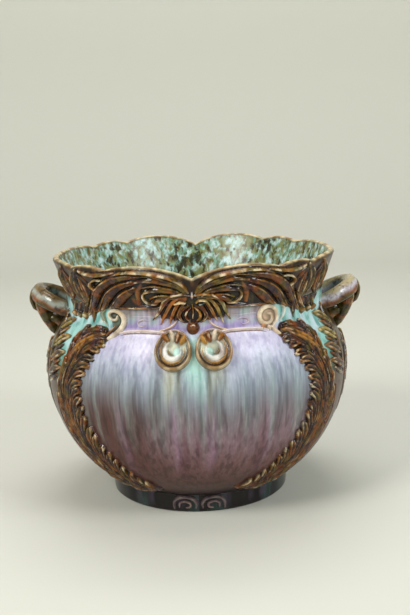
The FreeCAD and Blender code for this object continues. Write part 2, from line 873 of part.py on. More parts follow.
def check(parts):
    """Stop unless every object of the document is sound and every sub-part is made of closed solids."""
    for thing in doc.Objects:
        if "Invalid" in thing.State or "Error" in thing.State:
            raise RuntimeError(f"{thing.Label} failed: {thing.State}")
    for part in parts:
        if part.Shape.isNull() or not part.Shape.isValid() or not part.Shape.Solids:
            raise RuntimeError(f"{part.Label} has no valid solid")


parts = build()
doc.recompute()
check(parts)
os.makedirs("parts", exist_ok=True)
for part in parts:
    part.Shape.exportStep(f"parts/{part.Label}.step")
    print(part.Label, len(part.Shape.Solids), round(part.Shape.Volume))
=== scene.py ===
# %% [markdown]
# # A glazed cachepot with rococo relief
# The CAD model holds the pot's real sizes: a bowl, a foot ring, a scalloped collar, two ear handles and
# the sprigs pressed on the wall. Here each of them gets the modelling and the glaze that a photograph
# shows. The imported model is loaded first, because every piece below is laid where its solid is.

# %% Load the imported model
import math

import bpy
import numpy as np
from mathutils import Matrix, Vector


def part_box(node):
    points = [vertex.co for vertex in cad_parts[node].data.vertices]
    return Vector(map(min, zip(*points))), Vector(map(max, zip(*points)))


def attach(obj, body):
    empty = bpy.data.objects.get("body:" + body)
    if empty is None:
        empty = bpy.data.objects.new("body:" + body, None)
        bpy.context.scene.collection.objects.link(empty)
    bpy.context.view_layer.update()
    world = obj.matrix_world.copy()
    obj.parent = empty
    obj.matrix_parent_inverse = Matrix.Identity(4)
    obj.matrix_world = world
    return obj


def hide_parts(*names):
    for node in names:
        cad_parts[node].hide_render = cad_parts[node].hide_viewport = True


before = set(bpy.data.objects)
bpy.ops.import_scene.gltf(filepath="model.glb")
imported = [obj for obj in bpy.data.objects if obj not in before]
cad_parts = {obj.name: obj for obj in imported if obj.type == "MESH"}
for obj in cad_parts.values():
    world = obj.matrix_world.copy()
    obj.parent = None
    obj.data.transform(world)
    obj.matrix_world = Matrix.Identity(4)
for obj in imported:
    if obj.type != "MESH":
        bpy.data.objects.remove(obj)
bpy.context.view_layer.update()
MM = 0.001
print("CAD nodes:", len(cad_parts))

# %% [markdown]
# The camera stands where the photographer stood: a little above the rim and a step to the right of the
# middle, with the picture turned by a degree and a half. Placing it first means that every later render
# can be laid beside the photograph. A matrix made of three plain turns is easier to follow than Euler
# angles that have to be unpicked.

# %% Camera
PHOTO_LONG_SIDE = 615
FOCAL_PIXELS = 923
SENSOR = 36
CAMERA_PLACE = (0.0163, -0.8498, 0.325)
CAMERA_TURN, CAMERA_DROP, CAMERA_ROLL = 0.48, 10.46, -1.69

camera_data = bpy.data.cameras.new("camera")
camera_data.sensor_width = SENSOR
camera_data.lens = FOCAL_PIXELS * SENSOR / PHOTO_LONG_SIDE
camera = bpy.data.objects.new("camera", camera_data)
bpy.context.scene.collection.objects.link(camera)
camera.matrix_world = (
    Matrix.Translation(CAMERA_PLACE)
    @ Matrix.Rotation(math.radians(CAMERA_TURN), 4, "Z")
    @ Matrix.Rotation(math.radians(90 - CAMERA_DROP), 4, "X")
    @ Matrix.Rotation(math.radians(CAMERA_ROLL), 4, "Z")
)
bpy.context.scene.camera = camera
print("lens", round(camera_data.lens, 2), "mm")

# %% [markdown]
# A thrown pot is one line turned round an axis, so the wall can be written as a function: give it a
# height and it answers with the radius. The line is made of arcs that meet smoothly, the same ones as in
# the CAD model, and its levels are read from the CAD nodes. Everything that sits on the wall is placed by
# azimuth (0 at the front, 90 at the right handle), height and how far it stands out. All working sizes
# are in millimetres until a mesh is made.

# %% The pot's line
WALL = 6.0
THROAT_ARC = 40.0
FLARE = math.radians(20)
SHOULDER_SHARE = 0.726
WAIST = 20.5
FOOT_STEP = 3.0
FOOT_TAPER = 2.0

foot_top = np.array(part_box("foot_ring")[1]) / MM
bowl_top = np.array(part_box("bowl")[1]) / MM
collar_base, collar_top = (np.array(corner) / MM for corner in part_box("collar"))
FOOT_R, FOOT_Z = round(foot_top[0]), round(foot_top[2])
BELLY_R, BELLY_Z = round(bowl_top[0]), 118.0
NECK_R, NECK_Z, RIM_Z = BELLY_R - WAIST, round(collar_base[2]), round(collar_top[2])

undercut = BELLY_R - FOOT_R - FOOT_STEP
LOWER_ARC = (undercut ** 2 + (BELLY_Z - FOOT_Z) ** 2) / (2 * undercut)
arcs_sum = (WAIST ** 2 + (NECK_Z - BELLY_Z) ** 2) / (2 * WAIST)
SHOULDER_ARC = arcs_sum * SHOULDER_SHARE
NECK_ARC = arcs_sum - SHOULDER_ARC
TURN_Z = BELLY_Z + (NECK_Z - BELLY_Z) * SHOULDER_SHARE
FLARE_Z = NECK_Z + THROAT_ARC * math.sin(FLARE)


def wall_radius(z):
    """Radius of the outer wall at each height."""
    z = np.asarray(z, float)

    def arc(centre, radius, level, side):
        return centre + side * np.sqrt(np.clip(radius ** 2 - (z - level) ** 2, 0, None))

    foot = FOOT_R - FOOT_TAPER * (1 - z / FOOT_Z)
    lower = arc(BELLY_R - LOWER_ARC, LOWER_ARC, BELLY_Z, 1)
    shoulder = arc(BELLY_R - SHOULDER_ARC, SHOULDER_ARC, BELLY_Z, 1)
    neck = arc(NECK_R + NECK_ARC, NECK_ARC, NECK_Z, -1)
    throat = arc(NECK_R + THROAT_ARC, THROAT_ARC, NECK_Z, -1)
    flare_start = NECK_R + THROAT_ARC * (1 - math.cos(FLARE))
    flare = flare_start + (z - FLARE_Z) * math.tan(FLARE)
    levels = [z < FOOT_Z, z < BELLY_Z, z < TURN_Z, z < NECK_Z, z < FLARE_Z]
    return np.select(levels, [foot, lower, shoulder, neck, throat], flare)


def on_wall(azimuth, z, out=0.0):
    """Points that stand out of the wall by a distance, measured square to it."""
    step = 0.05
    base = np.where(z < FOOT_Z, np.clip(z, 0, FOOT_Z - 2 * step), np.maximum(z, FOOT_Z + 2 * step))
    slope = (wall_radius(base + step) - wall_radius(base - step)) / (2 * step)
    length = np.sqrt(1 + slope ** 2)
    radius = wall_radius(base) + out / length
    height = z - out * slope / length
    turn = np.radians(azimuth)
    return np.stack([radius * np.sin(turn), -radius * np.cos(turn), height * np.ones_like(radius)], -1)


levels = (FOOT_Z + 0.1, BELLY_Z, NECK_Z, RIM_Z)
print("radius at foot, belly, neck, rim:", [round(float(wall_radius(z)), 1) for z in levels])

# %% [markdown]
# Majolica glazes are coloured glass. The decorator floods the wet pot with several of them, and in the
# kiln they run down and into each other: lavender at the shoulder slides into plum at the foot in long
# streaks. Towards the foot the colours are also darker than the glaze alone, as painted shade and a
# painted reflection of a dark table under the belly, which turns away from the light. That run can be
# painted as
# data on the mesh: every point of the wall gets a colour from its azimuth and height, and the height is
# shifted by a slow wave round the pot, so that each streak comes down a different way.

# %% Colours and streaks
def light(red, green, blue):
    """A colour as a screen shows it, turned into the linear light that a shader adds up."""
    value = np.array([red, green, blue], float) / 255
    return np.where(value <= 0.04045, value / 12.92, ((value + 0.055) / 1.055) ** 2.4)


def waves(x, seed, lengths):
    """A smooth chance curve between about -1 and 1, the same at every run."""
    chance = np.random.default_rng(seed)
    total = np.zeros_like(x, dtype=float)
    for length in lengths:
        for _ in range(3):
            turn = chance.uniform(0, 2 * math.pi)
            stretch = chance.uniform(0.75, 1.3)
            total += np.sin(2 * math.pi * x / (length * stretch) + turn)
    return total / math.sqrt(4.5 * len(lengths))


def blotches(x, z, seed, length):
    """Cloudy chance over a surface, about -2 to 2, made of waves that run in every direction."""
    chance = np.random.default_rng(seed)
    total = np.zeros_like(x, dtype=float)
    for _ in range(9):
        way, turn = chance.uniform(0, 2 * math.pi, 2)
        step = 2 * math.pi / (length * chance.uniform(0.7, 1.4))
        total += np.sin((x * math.cos(way) + z * math.sin(way)) * step + turn)
    return total / math.sqrt(4.5)


def blend(first, second, share):
    """The first colour where the share is 0, the second where it is 1."""
    share = np.clip(np.asarray(share, float), 0, 1)[..., None]
    return first * (1 - share) + second * share


def ease(value, low, high):
    """A soft step from 0 at the low value to 1 at the high one."""
    share = np.clip((np.asarray(value, float) - low) / (high - low), 0, 1)
    return share * share * (3 - 2 * share)


def cloud(x, z, seed, length, low, high):
    """Cloudy chance as a share: 0 under the low level and 1 over the high one."""
    return ease(blotches(x, z, seed, length), low, high)


def by_height(z, stops):
    """Colour at each height, from (height, colour) stops in rising order."""
    levels = [level for level, _ in stops]
    colours = np.array([light(*colour) for _, colour in stops])
    return np.stack([np.interp(z, levels, colours[:, i]) for i in range(3)], -1)


# Both runs go from pale at the top to dark at the foot; the darkening low down is partly glaze and partly
# painted shade.
PANEL_RUN_AND_SHADE = [
    (22, (54, 25, 18)), (36, (76, 39, 31)), (56, (108, 76, 76)), (80, (129, 103, 112)),
    (104, (119, 112, 119)), (118, (132, 138, 149)), (131, (154, 164, 179)), (145, (177, 182, 203)),
    (158, (194, 190, 217)), (170, (200, 196, 219)),
]
SIDE_RUN_AND_SHADE = [
    (22, (34, 18, 8)), (40, (50, 25, 9)), (70, (68, 34, 11)), (100, (74, 38, 13)), (116, (72, 48, 22)),
    (128, (82, 98, 78)), (140, (124, 180, 170)), (152, (152, 208, 202)), (172, (164, 210, 208)),
    (182, (116, 146, 136)),
]
PANEL_EDGE_Z = [22, 27, 36, 42, 50, 61, 80, 94, 111, 128, 148, 156, 162, 170]
PANEL_EDGE_AZ = [14, 17, 30, 32, 34, 38, 42, 44, 46, 45, 43, 40, 36, 35]
VIOLET_RUN = [(169, (136, 120, 172)), (174, (158, 146, 190)), (180, (178, 174, 194)),
              (188, (136, 128, 128))]
MINT, OLIVE, PLUM = light(166, 220, 202), light(96, 92, 70), light(92, 54, 64)
FRIEZE_BROWN, FRIEZE_AMBER, FRIEZE_DARK = light(50, 26, 11), light(96, 66, 26), light(22, 12, 8)
HALO, SPOT = light(196, 194, 138), light(216, 228, 242)
MAUVE, SEA_GREY, SMOKE = light(152, 120, 146), light(150, 174, 168), light(82, 76, 86)
SIDE_TOP, ROSE, UMBER_RUN = light(162, 208, 206), light(160, 132, 134), light(74, 36, 24)
SIDE_DEEP, SIDE_OLIVE, FOOT_EDGE = light(84, 158, 154), light(70, 58, 36), light(30, 22, 22)
# Streaks of the panel: seed, lengths, tone, share, and the heights that they run between
STREAKS = [
    (3, (22, 9), MAUVE, 0.5, 44, 118), (4, (16, 6), SEA_GREY, 0.2, 62, 138),
    (6, (13, 5), SMOKE, 0.22, 52, 146), (8, (20, 7), PLUM, 0.5, 26, 96),
    (9, (9, 4), SEA_GREY, 0.2, 66, 156),
]
# Runs under the volutes: tone, share, azimuth, half width, shift by chance, where they fade in and out
VOLUTE_RUNS = [
    (MINT, 0.75, 0, 4.4, 10, (116, 150), (160, 172)), (HALO, 0.45, 8.2, 2.6, 12, (112, 146), (150, 158)),
    (OLIVE, 0.7, 5.2, 0.9, 10, (84, 130), (148, 154)),
]
# Heights over which one band of glaze passes into the next, from the foot up
FOOT_EDGE_Z, HEAD_Z, FRIEZE_Z, HEAD_END_Z = (20.5, 25), (169, 173), (186, 191), (188, 194)
# Millimetres of wall to a degree of azimuth, at the belly and at the neck
BELLY_MM, NECK_MM = 2.4, 2.1


def ground_colour(azimuth, z):
    """The flooded glazes of the wall: panel, sides, shoulder and frieze, darkened towards the foot by
    painted shade.
    """
    fold = np.abs((azimuth + 90) % 180 - 90)
    bend = azimuth + 0.6 * waves(z, 5, (70, 38))
    slide = waves(bend, 11, (38, 17, 8))
    panel = by_height(z + 5 * slide * ease(z, 20, 60), PANEL_RUN_AND_SHADE)
    lean = ease(-np.sin(np.radians(azimuth)), 0.08, 0.46)
    panel = blend(panel, UMBER_RUN, 0.92 * lean * (1 - ease(z + 9 * slide, 88, 146)))
    for seed, lengths, tone, share, low, high in STREAKS:
        streak = share * ease(waves(bend, seed, lengths), 0.2, 1.0) * ease(z, low, low + 26)
        panel = blend(panel, tone, streak * (1 - ease(z, high - 22, high + 10)))
    fine = waves(bend, 12, (3.4, 2.0)) * ease(z, 26, 60) * (1 - ease(z, 146, 166))
    panel = panel * (1 + 0.08 * fine)[..., None]
    for tone, share, place, half, shift, start, end in VOLUTE_RUNS:
        beside = np.exp(-((fold - place) / half) ** 2)
        run = beside * ease(z + shift * slide, *start) * (1 - ease(z, *end))
        panel = blend(panel, tone, share * run)
    side = by_height(z + 7 * slide, SIDE_RUN_AND_SHADE)
    spots = cloud(bend * BELLY_MM, z * 0.5, 21, 13, -0.2, 1.2) * ease(z, 144, 156)
    side = blend(side, SPOT, 0.7 * spots)
    # Darker teal patches: partly glaze mottling, partly painted shade standing for the shadow beside the
    # relief.
    deep = cloud(bend * BELLY_MM, z * 0.6, 22, 15, 0.1, 1.3)
    side = blend(side, SIDE_DEEP, 0.75 * deep * ease(z, 132, 146))
    side = blend(side, SIDE_OLIVE, ease(fold, 62, 67) * ease(z, 112, 122))
    edge = np.interp(z, PANEL_EDGE_Z, PANEL_EDGE_AZ)
    colour = blend(panel, side, ease(fold - edge, -1, 5))
    neck = bend * NECK_MM
    lilac = by_height(z + 2.5 * blotches(neck, z, 23, 14), VIOLET_RUN)
    lilac = blend(lilac, SEA_GREY, 0.6 * cloud(neck, 1.4 * z, 24, 16, 0.1, 1.2) * ease(z, 171, 179))
    lilac = blend(lilac, ROSE, 0.55 * cloud(neck, 1.4 * z, 25, 15, 0.1, 1.2) * ease(z, 176, 186))
    turquoise = blend(SIDE_TOP, SPOT, 0.7 * spots)
    # The same darker teal patches, partly glaze and partly painted shade.
    turquoise = blend(turquoise, SIDE_DEEP, 0.75 * cloud(neck, z * 0.6, 22, 15, 0.1, 1.3))
    above = blend(lilac, turquoise, ease(fold, 30, 37))
    colour = blend(colour, above, ease(z, *HEAD_Z) * (1 - ease(z, *HEAD_END_Z)))
    colour = blend(colour, FOOT_EDGE, 0.8 * (1 - ease(z + 1.5 * slide, *FOOT_EDGE_Z)))
    stain = blotches(azimuth * NECK_MM, z, 26, 12)
    brown = blend(FRIEZE_BROWN, FRIEZE_AMBER, 0.7 * ease(stain, 0.1, 1.3))
    brown = blend(brown, FRIEZE_DARK, 0.8 * ease(-stain, 0.1, 1.2))
    return blend(colour, brown, ease(z, *FRIEZE_Z))


sample = ground_colour(np.array([0.0, 25.0, 80.0]), np.array([150.0, 100.0, 80.0]))
print("ground colours in linear light:", np.round(sample, 2).tolist())

# %% [markdown]
# A shader is a small graph, and writing it node by node hides the idea. This class wraps one output
# socket, so that a recipe reads as arithmetic: `0.1 + 0.2 * speckle` adds two Math nodes. Colours go
# through Mix nodes, since a Math node would turn them grey, and `node` adds any other kind.

# %% A socket that can be reckoned with
class Socket:
    """One output of a node tree. Sums and products of sockets add Math nodes."""

    def __init__(self, tree, link):
        self.tree = tree
        self.link = link

    def node(self, kind, settings=None, sockets=None, out=0):
        made = self.tree.nodes.new(kind)
        for name, value in (settings or {}).items():
            setattr(made, name, value)
        for name, value in (sockets or {}).items():
            if isinstance(value, Socket):
                self.tree.links.new(value.link, made.inputs[name])
            else:
                made.inputs[name].default_value = value
        return Socket(self.tree, made.outputs[out])

    def maths(self, operation, first, second):
        return self.node("ShaderNodeMath", {"operation": operation}, {0: first, 1: second})

    def __add__(self, other):
        return self.maths("ADD", self, other)

    def __sub__(self, other):
        return self.maths("SUBTRACT", self, other)

    def __rsub__(self, other):
        return self.maths("SUBTRACT", other, self)

    def __mul__(self, other):
        return self.maths("MULTIPLY", self, other)

    __radd__ = __add__
    __rmul__ = __mul__

    def between(self, low, high):
        """0 below low, 1 above high, and a soft step between them."""
        settings = {"interpolation_type": "SMOOTHSTEP"}
        return self.node("ShaderNodeMapRange", settings,
                         {"Value": self, "From Min": low, "From Max": high})

    def mix(self, first, second, how="MIX"):
        """The first colour where this socket is 0 and the second where it is 1."""
        settings = {"data_type": "RGBA", "blend_type": how}
        return self.node("ShaderNodeMix", settings, {0: self, 6: first, 7: second}, out=2)

    def painted(self, name, out="Color"):
        """What is painted on the mesh under this name."""
        return self.node("ShaderNodeAttribute", {"attribute_name": name}, out=out)

    def stretched(self, x, y, z):
        return self.node("ShaderNodeVectorMath", {"operation": "MULTIPLY"}, {0: self, 1: (x, y, z)})

    def noise(self, size, detail=2.0, rough=0.5, warp=0.0):
        """Cloudy noise whose patches are about this many millimetres across."""
        sockets = {"Vector": self, "Scale": 1 / (size * MM), "Detail": detail}
        sockets.update({"Roughness": rough, "Distortion": warp})
        return self.node("ShaderNodeTexNoise", None, sockets)


def rgba(red, green, blue):
    return (*light(red, green, blue), 1.0)


print("socket class ready")

# %% [markdown]
# The glaze is thick, glossy glass over a pale body. All the finishes share one recipe: the colour painted
# on the mesh, broken by streaks that are long in height and short across, by cloudy mottling and by a few
# dark specks. The gloss is a low roughness, and a faint bump makes the highlights swim as they do on
# glaze that ran.

# %% Glaze materials
GLASS_IOR, SPONGED_IOR = 1.4, 1.36
BUMP_DEPTH = 0.6 * MM
PALE_RUN = rgba(240, 240, 240)


def bare_glaze(name, ior):
    """A new material, and the places on the pot as the socket that a recipe starts from."""
    material = bpy.data.materials.new(name)
    material.use_nodes = True
    tree = material.node_tree
    tree.nodes["Principled BSDF"].inputs["IOR"].default_value = ior
    return material, Socket(tree, tree.nodes.new("ShaderNodeTexCoord").outputs["Object"])


def fired(material, colour, roughness, height, ripple):
    """The material with a recipe's colour, roughness and bumps joined to its shader."""
    sockets = {"Strength": ripple, "Distance": BUMP_DEPTH, "Height": height}
    bump = colour.node("ShaderNodeBump", None, sockets)
    tree = material.node_tree
    for name, socket in (("Base Color", colour), ("Roughness", roughness), ("Normal", bump)):
        tree.links.new(socket.link, tree.nodes["Principled BSDF"].inputs[name])
    return material


def glaze(name, streak, mottle, dark=(40, 22, 12), ripple=0.12, rough=0.12):
    """Painted colour with runs, mottling and specks, each as strong as the recipe says."""
    material, place = bare_glaze(name, GLASS_IOR)
    paint = place.painted("glaze")
    runs = place.stretched(1, 1, 0.02).noise(4.0, 1, 0.5)
    fine_runs = place.stretched(1, 1, 0.015).noise(1.6, 1, 0.5)
    clouds = place.noise(5.5, 4, 0.6, 0.6)
    grain = place.noise(1.3, 2, 0.6)
    colour = (runs.between(0.42, 0.68) * streak).mix(paint, rgba(*dark), "SOFT_LIGHT")
    colour = (fine_runs.between(0.45, 0.7) * (0.7 * streak)).mix(colour, PALE_RUN, "SOFT_LIGHT")
    colour = (clouds.between(0.45, 0.75) * mottle).mix(colour, rgba(*dark), "MULTIPLY")
    specks = grain.between(0.68, 0.76) * clouds.between(0.45, 0.65)
    colour = (specks * mottle).mix(colour, rgba(*dark))
    roughness = rough + 0.12 * clouds.between(0.45, 0.8) + 0.05 * grain
    height = place.noise(9, 2, 0.5) * 0.7 + 0.3 * place.noise(2.4, 2, 0.5)
    return fired(material, colour, roughness, height, ripple)


RECIPES = {
    "ground_glaze": {"streak": 0.5, "mottle": 0.1, "rough": 0.26},
    "relief_glaze": {"streak": 0.1, "mottle": 0.8, "dark": (34, 15, 6), "ripple": 0.6, "rough": 0.07},
    "scroll_glaze": {"streak": 0.1, "mottle": 0.25, "ripple": 0.2},
    "foot_glaze": {"streak": 0.3, "mottle": 0.3},
}
GLAZES = {name: glaze(name, **recipe) for name, recipe in RECIPES.items()}
print("glazes:", list(GLAZES))

# %% [markdown]
# The inside is sponged: mint and pale blue dabs with olive and dark green between them, and brown runs
# coming down from the rim. The palest blue-white patches are partly glaze and partly painted highlights.
# No painted colour is needed there, because cloudy noise at two sizes is what a sponge leaves.

# %% Sponged inside glaze
def sponged(name):
    """Dabs of a sponge, with the lip's painted colour where the mesh asks for it."""
    material, place = bare_glaze(name, SPONGED_IOR)
    lip = place.painted("glaze")
    lip_share = place.painted("lip", "Fac")
    dabs = place.stretched(1, 1, 0.75).noise(5.2, 3, 0.5, 0.4)
    patches = place.stretched(1, 1, 0.7).noise(7, 3, 0.55, 0.3)
    runs = place.stretched(1, 1, 0.5).noise(4.8, 3, 0.55, 0.3)
    clouds = place.noise(34, 2, 0.5)
    colour = dabs.between(0.36, 0.66).mix(rgba(118, 160, 138), rgba(190, 212, 208))
    colour = (patches.between(0.44, 0.6) * 0.9).mix(colour, rgba(122, 122, 66))
    colour = (runs.between(0.48, 0.64) * 0.85).mix(colour, rgba(100, 78, 38))
    deep = (runs + clouds).between(1.04, 1.2) * dabs.between(0.34, 0.5)
    colour = (deep * 0.9).mix(colour, rgba(34, 38, 20))
    # Blue-white patches: partly pale glaze, partly painted highlights.
    pale = (1 - patches).between(0.54, 0.64) * (1 - runs).between(0.48, 0.58)
    colour = (pale * 0.7).mix(colour, rgba(196, 224, 228))
    colour = lip_share.mix(colour, lip)
    roughness = 0.2 + 0.2 * dabs.between(0.4, 0.7)
    return fired(material, colour, roughness, dabs, 0.2)


inside_glaze = sponged("inside_glaze")
print("inside glaze ready")

# %% [markdown]
# Every piece ends the same way: points and faces become a mesh, the painted colours become attributes on
# it, and the piece is told which CAD body carries it, which node it stands for and which glaze it wears.

# %% From points to a piece
def add_piece(node, points, faces, paints, slot, inner=None):
    """A smooth mesh that stands for a CAD node, sponged where inner is 1. Points are in millimetres."""
    mesh = bpy.data.meshes.new(f"{node}_glazed")
    mesh.from_pydata((np.asarray(points) * MM).tolist(), [], faces)
    mesh.polygons.foreach_set("use_smooth", [True] * len(mesh.polygons))
    mesh.materials.append(GLAZES[slot])
    if inner is not None:
        mesh.materials.append(inside_glaze)
        mesh.polygons.foreach_set("material_index", np.asarray(inner, np.int32))
    for name, values in paints.items():
        values = np.asarray(values, float)
        if values.ndim == 2:
            attribute = mesh.attributes.new(name, "FLOAT_COLOR", "POINT")
            values = np.concatenate([values, np.ones((len(values), 1))], 1)
            attribute.data.foreach_set("color", values.astype(np.float32).ravel())
        else:
            attribute = mesh.attributes.new(name, "FLOAT", "POINT")
            attribute.data.foreach_set("value", values.astype(np.float32))
    mesh.update()
    piece = bpy.data.objects.new(f"{node}_glazed", mesh)
    bpy.context.scene.collection.objects.link(piece)
    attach(piece, "root")
    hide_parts(node)
    return piece


def ring_faces(rows, columns, closed_rows=False):
    """Quads between rows of points that each run once round the pot."""
    faces = []
    for row in range(rows if closed_rows else rows - 1):
        low, high = row * columns, (row + 1) % rows * columns
        for column in range(columns):
            after = (column + 1) % columns
            faces.append((low + column, low + after, high + after, high + column))
    return faces


def mirrored(points, faces, way):
    """Points moved to another side of the pot, with the faces turned over where a mirror needs it."""
    return points * way, faces if math.prod(way) > 0 else [face[::-1] for face in faces]


AROUND = 640
TURN = np.linspace(0, 360, AROUND, endpoint=False)


def turned_piece(node, profile, paint, slot, inner_rows=()):
    """A closed shape turned from a ring of (radius, z) points, where both may differ by azimuth."""
    rows = len(profile)
    radii, heights = (np.stack([np.broadcast_to(point[i], AROUND) for point in profile]) for i in (0, 1))
    angle = np.radians(TURN)[None, :]
    points = np.stack([radii * np.sin(angle), -radii * np.cos(angle), heights], -1)
    paints = {name: values.reshape(-1, *values.shape[2:]) for name, values in paint(heights).items()}
    faces = ring_faces(rows, AROUND, closed_rows=True)
    inner = np.repeat([int(row in inner_rows) for row in range(rows)], AROUND) if inner_rows else None
    return add_piece(node, points.reshape(-1, 3), faces, paints, slot, inner)


print("helpers ready")

# %% [markdown]
# The bowl is the big quiet surface between the sprigs. It is turned from its profile: up the outside,
# over the lip under the collar, down the inside, across the floor and the underside. A floor that closes
# in a tiny ring round the axis keeps the mesh closed without a special case.

# %% Bowl
FLOOR_Z = FOOT_Z + 8.0
LIP_Z = NECK_Z + 1.0
AXIS_R = 0.4
FLOOR_BEND = [(3, 2.5), (7.5, 0.5), (13, 0)]
BOSS_R, BOSS_Z = FOOT_R - 15.5, FOOT_Z - 3

outer_z = np.concatenate([np.linspace(FOOT_Z, BELLY_Z, 58), np.linspace(BELLY_Z, LIP_Z, 46)[1:]])
outside = [(float(wall_radius(max(z, FOOT_Z + 0.01))), z) for z in outer_z]
inner_z = np.linspace(LIP_Z, FLOOR_Z + 6, 30)
inside = [(float(wall_radius(z)) - WALL, z) for z in inner_z]
floor = [(inside[-1][0] - inward, FLOOR_Z + up) for inward, up in FLOOR_BEND]
floor += [(share * floor[-1][0] + AXIS_R, FLOOR_Z) for share in (0.8, 0.55, 0.3, 0.0)]
underside = [(AXIS_R, BOSS_Z), (FOOT_R * 0.5, BOSS_Z), (BOSS_R, BOSS_Z), (BOSS_R, FOOT_Z)]
bowl_profile = outside + inside + floor + underside
inner_rows = range(len(outside) - 1, len(outside) + len(inside) + len(floor) - 1)


def bowl_paint(heights):
    azimuth = np.broadcast_to(TURN, heights.shape)
    return {"glaze": ground_colour(azimuth, heights), "lip": np.zeros(heights.shape)}


bowl = turned_piece("bowl", bowl_profile, bowl_paint, "ground_glaze", inner_rows)
print("bowl faces:", len(bowl.data.polygons))

# %% [markdown]
# The collar flares to a rim cut in scallops: a notch over the palmette, a long crest each side and two
# lower lobes towards the handle. On the real pot the clay edge is rounded and the glaze thins on it to a
# cream line. The rim's height is worked out for each azimuth, then the profile is stretched up to it and
# closed with a half round.

# %% Collar and scalloped rim
RIM_POINTS = [(0, 10.5), (0.3745, 0), (0.63, 4.5), (0.762, 1.5), (0.894, 4.5), (1.043, 1.7), (1.192, 4.5)]


def arc_height(x, points):
    """Height of the arc through three (x, z) points."""
    (x0, z0), (x1, z1), (x2, z2) = points
    ax, bx, az, bz = x1 - x0, x2 - x0, z1 - z0, z2 - z0
    cross = 2 * (ax * bz - az * bx)
    centre_x = (bz * (ax ** 2 + az ** 2) - az * (bx ** 2 + bz ** 2)) / cross
    centre_z = (ax * (bx ** 2 + bz ** 2) - bx * (ax ** 2 + az ** 2)) / cross
    radius = math.hypot(centre_x, centre_z)
    side = 1 if centre_z < az else -1
    return z0 + centre_z + side * np.sqrt(np.clip(radius ** 2 - (x - x0 - centre_x) ** 2, 0, None))


def rim_height(azimuth):
    corners = [(share * NECK_R, RIM_Z - fall) for share, fall in RIM_POINTS]
    radius = float(wall_radius(RIM_Z - 3))
    x = np.abs(radius * np.sin(np.radians(azimuth)))
    arcs = [arc_height(x, corners[i:i + 3]) for i in (0, 2, 4)]
    return np.select([x < corners[2][0], x < corners[4][0]], arcs[:2], arcs[2])


rim = rim_height(TURN)
LIP_R = WALL / 2
LIP_ANGLES = [25, 50, 70, 90, 110, 130, 155]
OUTER_ROWS, INNER_ROWS = 30, 24


def collar_row(share, inward=0.0):
    """Radius and height at every azimuth, from the neck at 0 to the rim's rounding at 1."""
    z = NECK_Z + (rim - LIP_R - NECK_Z) * share
    return wall_radius(z) - inward, z


lip_middle = wall_radius(rim - LIP_R) - LIP_R
collar_profile = [collar_row(share) for share in np.linspace(0, 1, OUTER_ROWS)]
for angle in np.radians(LIP_ANGLES):
    collar_profile.append((lip_middle + LIP_R * math.cos(angle), rim - LIP_R + LIP_R * math.sin(angle)))
collar_profile += [collar_row(share, WALL) for share in np.linspace(1, 0, INNER_ROWS)]
RIM_CREAM, RIM_TAN, RIM_OLIVE = light(206, 188, 144), light(124, 92, 48), light(144, 140, 98)


def collar_paint(heights):
    azimuth = np.broadcast_to(TURN, heights.shape)
    below = rim[None, :] - heights
    thin = 1 - ease(below, 0.3, 2.2)
    patch = blotches(azimuth * NECK_MM, heights * 1.5, 31, 19)
    lip_colour = blend(RIM_CREAM, RIM_TAN, 0.8 * ease(patch, -0.3, 1.0))
    lip_colour = blend(lip_colour, RIM_OLIVE, 0.8 * ease(-patch, 0.3, 1.3))
    colour = blend(ground_colour(azimuth, heights), lip_colour, thin)
    return {"glaze": colour, "lip": 1 - ease(below, 0.6, 3.2)}


inner_rows = range(OUTER_ROWS + len(LIP_ANGLES) // 2, len(collar_profile))
turned_piece("collar", collar_profile, collar_paint, "ground_glaze", inner_rows)
print("rim from", round(rim.min(), 1), "to", round(rim.max(), 1), "mm")

# %% [markdown]
# The foot ring is where the runs of glaze end: they pool dark above the table, with teal and bluish grey
# patches that are partly glaze bloom and partly painted reflections.
# It is turned like the bowl, with a rounded edge at the bottom where a potter would wipe the glaze off.

# %% Foot ring
FOOT_WIDTH = 15.0
outer_z = np.linspace(1.2, FOOT_Z - 0.4, 14)
foot_profile = [(float(wall_radius(z)), z) for z in outer_z]
foot_profile += [(FOOT_R - 0.6, FOOT_Z), (FOOT_R - FOOT_WIDTH, FOOT_Z), (FOOT_R - FOOT_WIDTH, 1.0)]
foot_profile += [(FOOT_R - FOOT_WIDTH + 1, 0), (FOOT_R - FOOT_TAPER - 1.2, 0)]
# Teal and lavender-grey on the dark foot are partly glaze bloom and partly painted reflections.
FOOT_DARK, FOOT_TEAL, FOOT_BLOOM_AND_SHEEN = light(26, 20, 20), light(58, 82, 80), light(84, 74, 94)


def foot_colour(azimuth, heights):
    teal = waves(azimuth, 41, (37, 15))
    bloom_and_sheen = waves(azimuth, 43, (29, 11))
    colour = blend(FOOT_DARK, FOOT_TEAL, 0.5 * ease(teal, -0.3, 1.1))
    return blend(colour, FOOT_BLOOM_AND_SHEEN, 0.55 * ease(bloom_and_sheen, -0.2, 1.1) * ease(heights, 0, 12))


def foot_paint(heights):
    return {"glaze": foot_colour(np.broadcast_to(TURN, heights.shape), heights)}


foot_ring = turned_piece("foot_ring", foot_profile, foot_paint, "foot_glaze")
print("foot ring faces:", len(foot_ring.data.polygons))

# %% [markdown]
# A sprig is a pad of clay pressed in a carved mould and stuck on the wall. Carving is made of strokes: a
# gouge runs along a line, wider here and shallower there. So the relief is modelled as strokes on a tile
# of clay, a grid of heights in azimuth and height, where each stroke raises the grid to its own rounded
# section. Sculpting by hand would not repeat for the four quarters of the pot, and curves with a bevel
# would not melt into each other.

# %% Clay tiles and strokes
FLOOR_DEPTH = -1.0
SKIRT = -0.45
BACK = -1.3
GROOVE_HALF, DISH_HALF = 0.22, 0.5


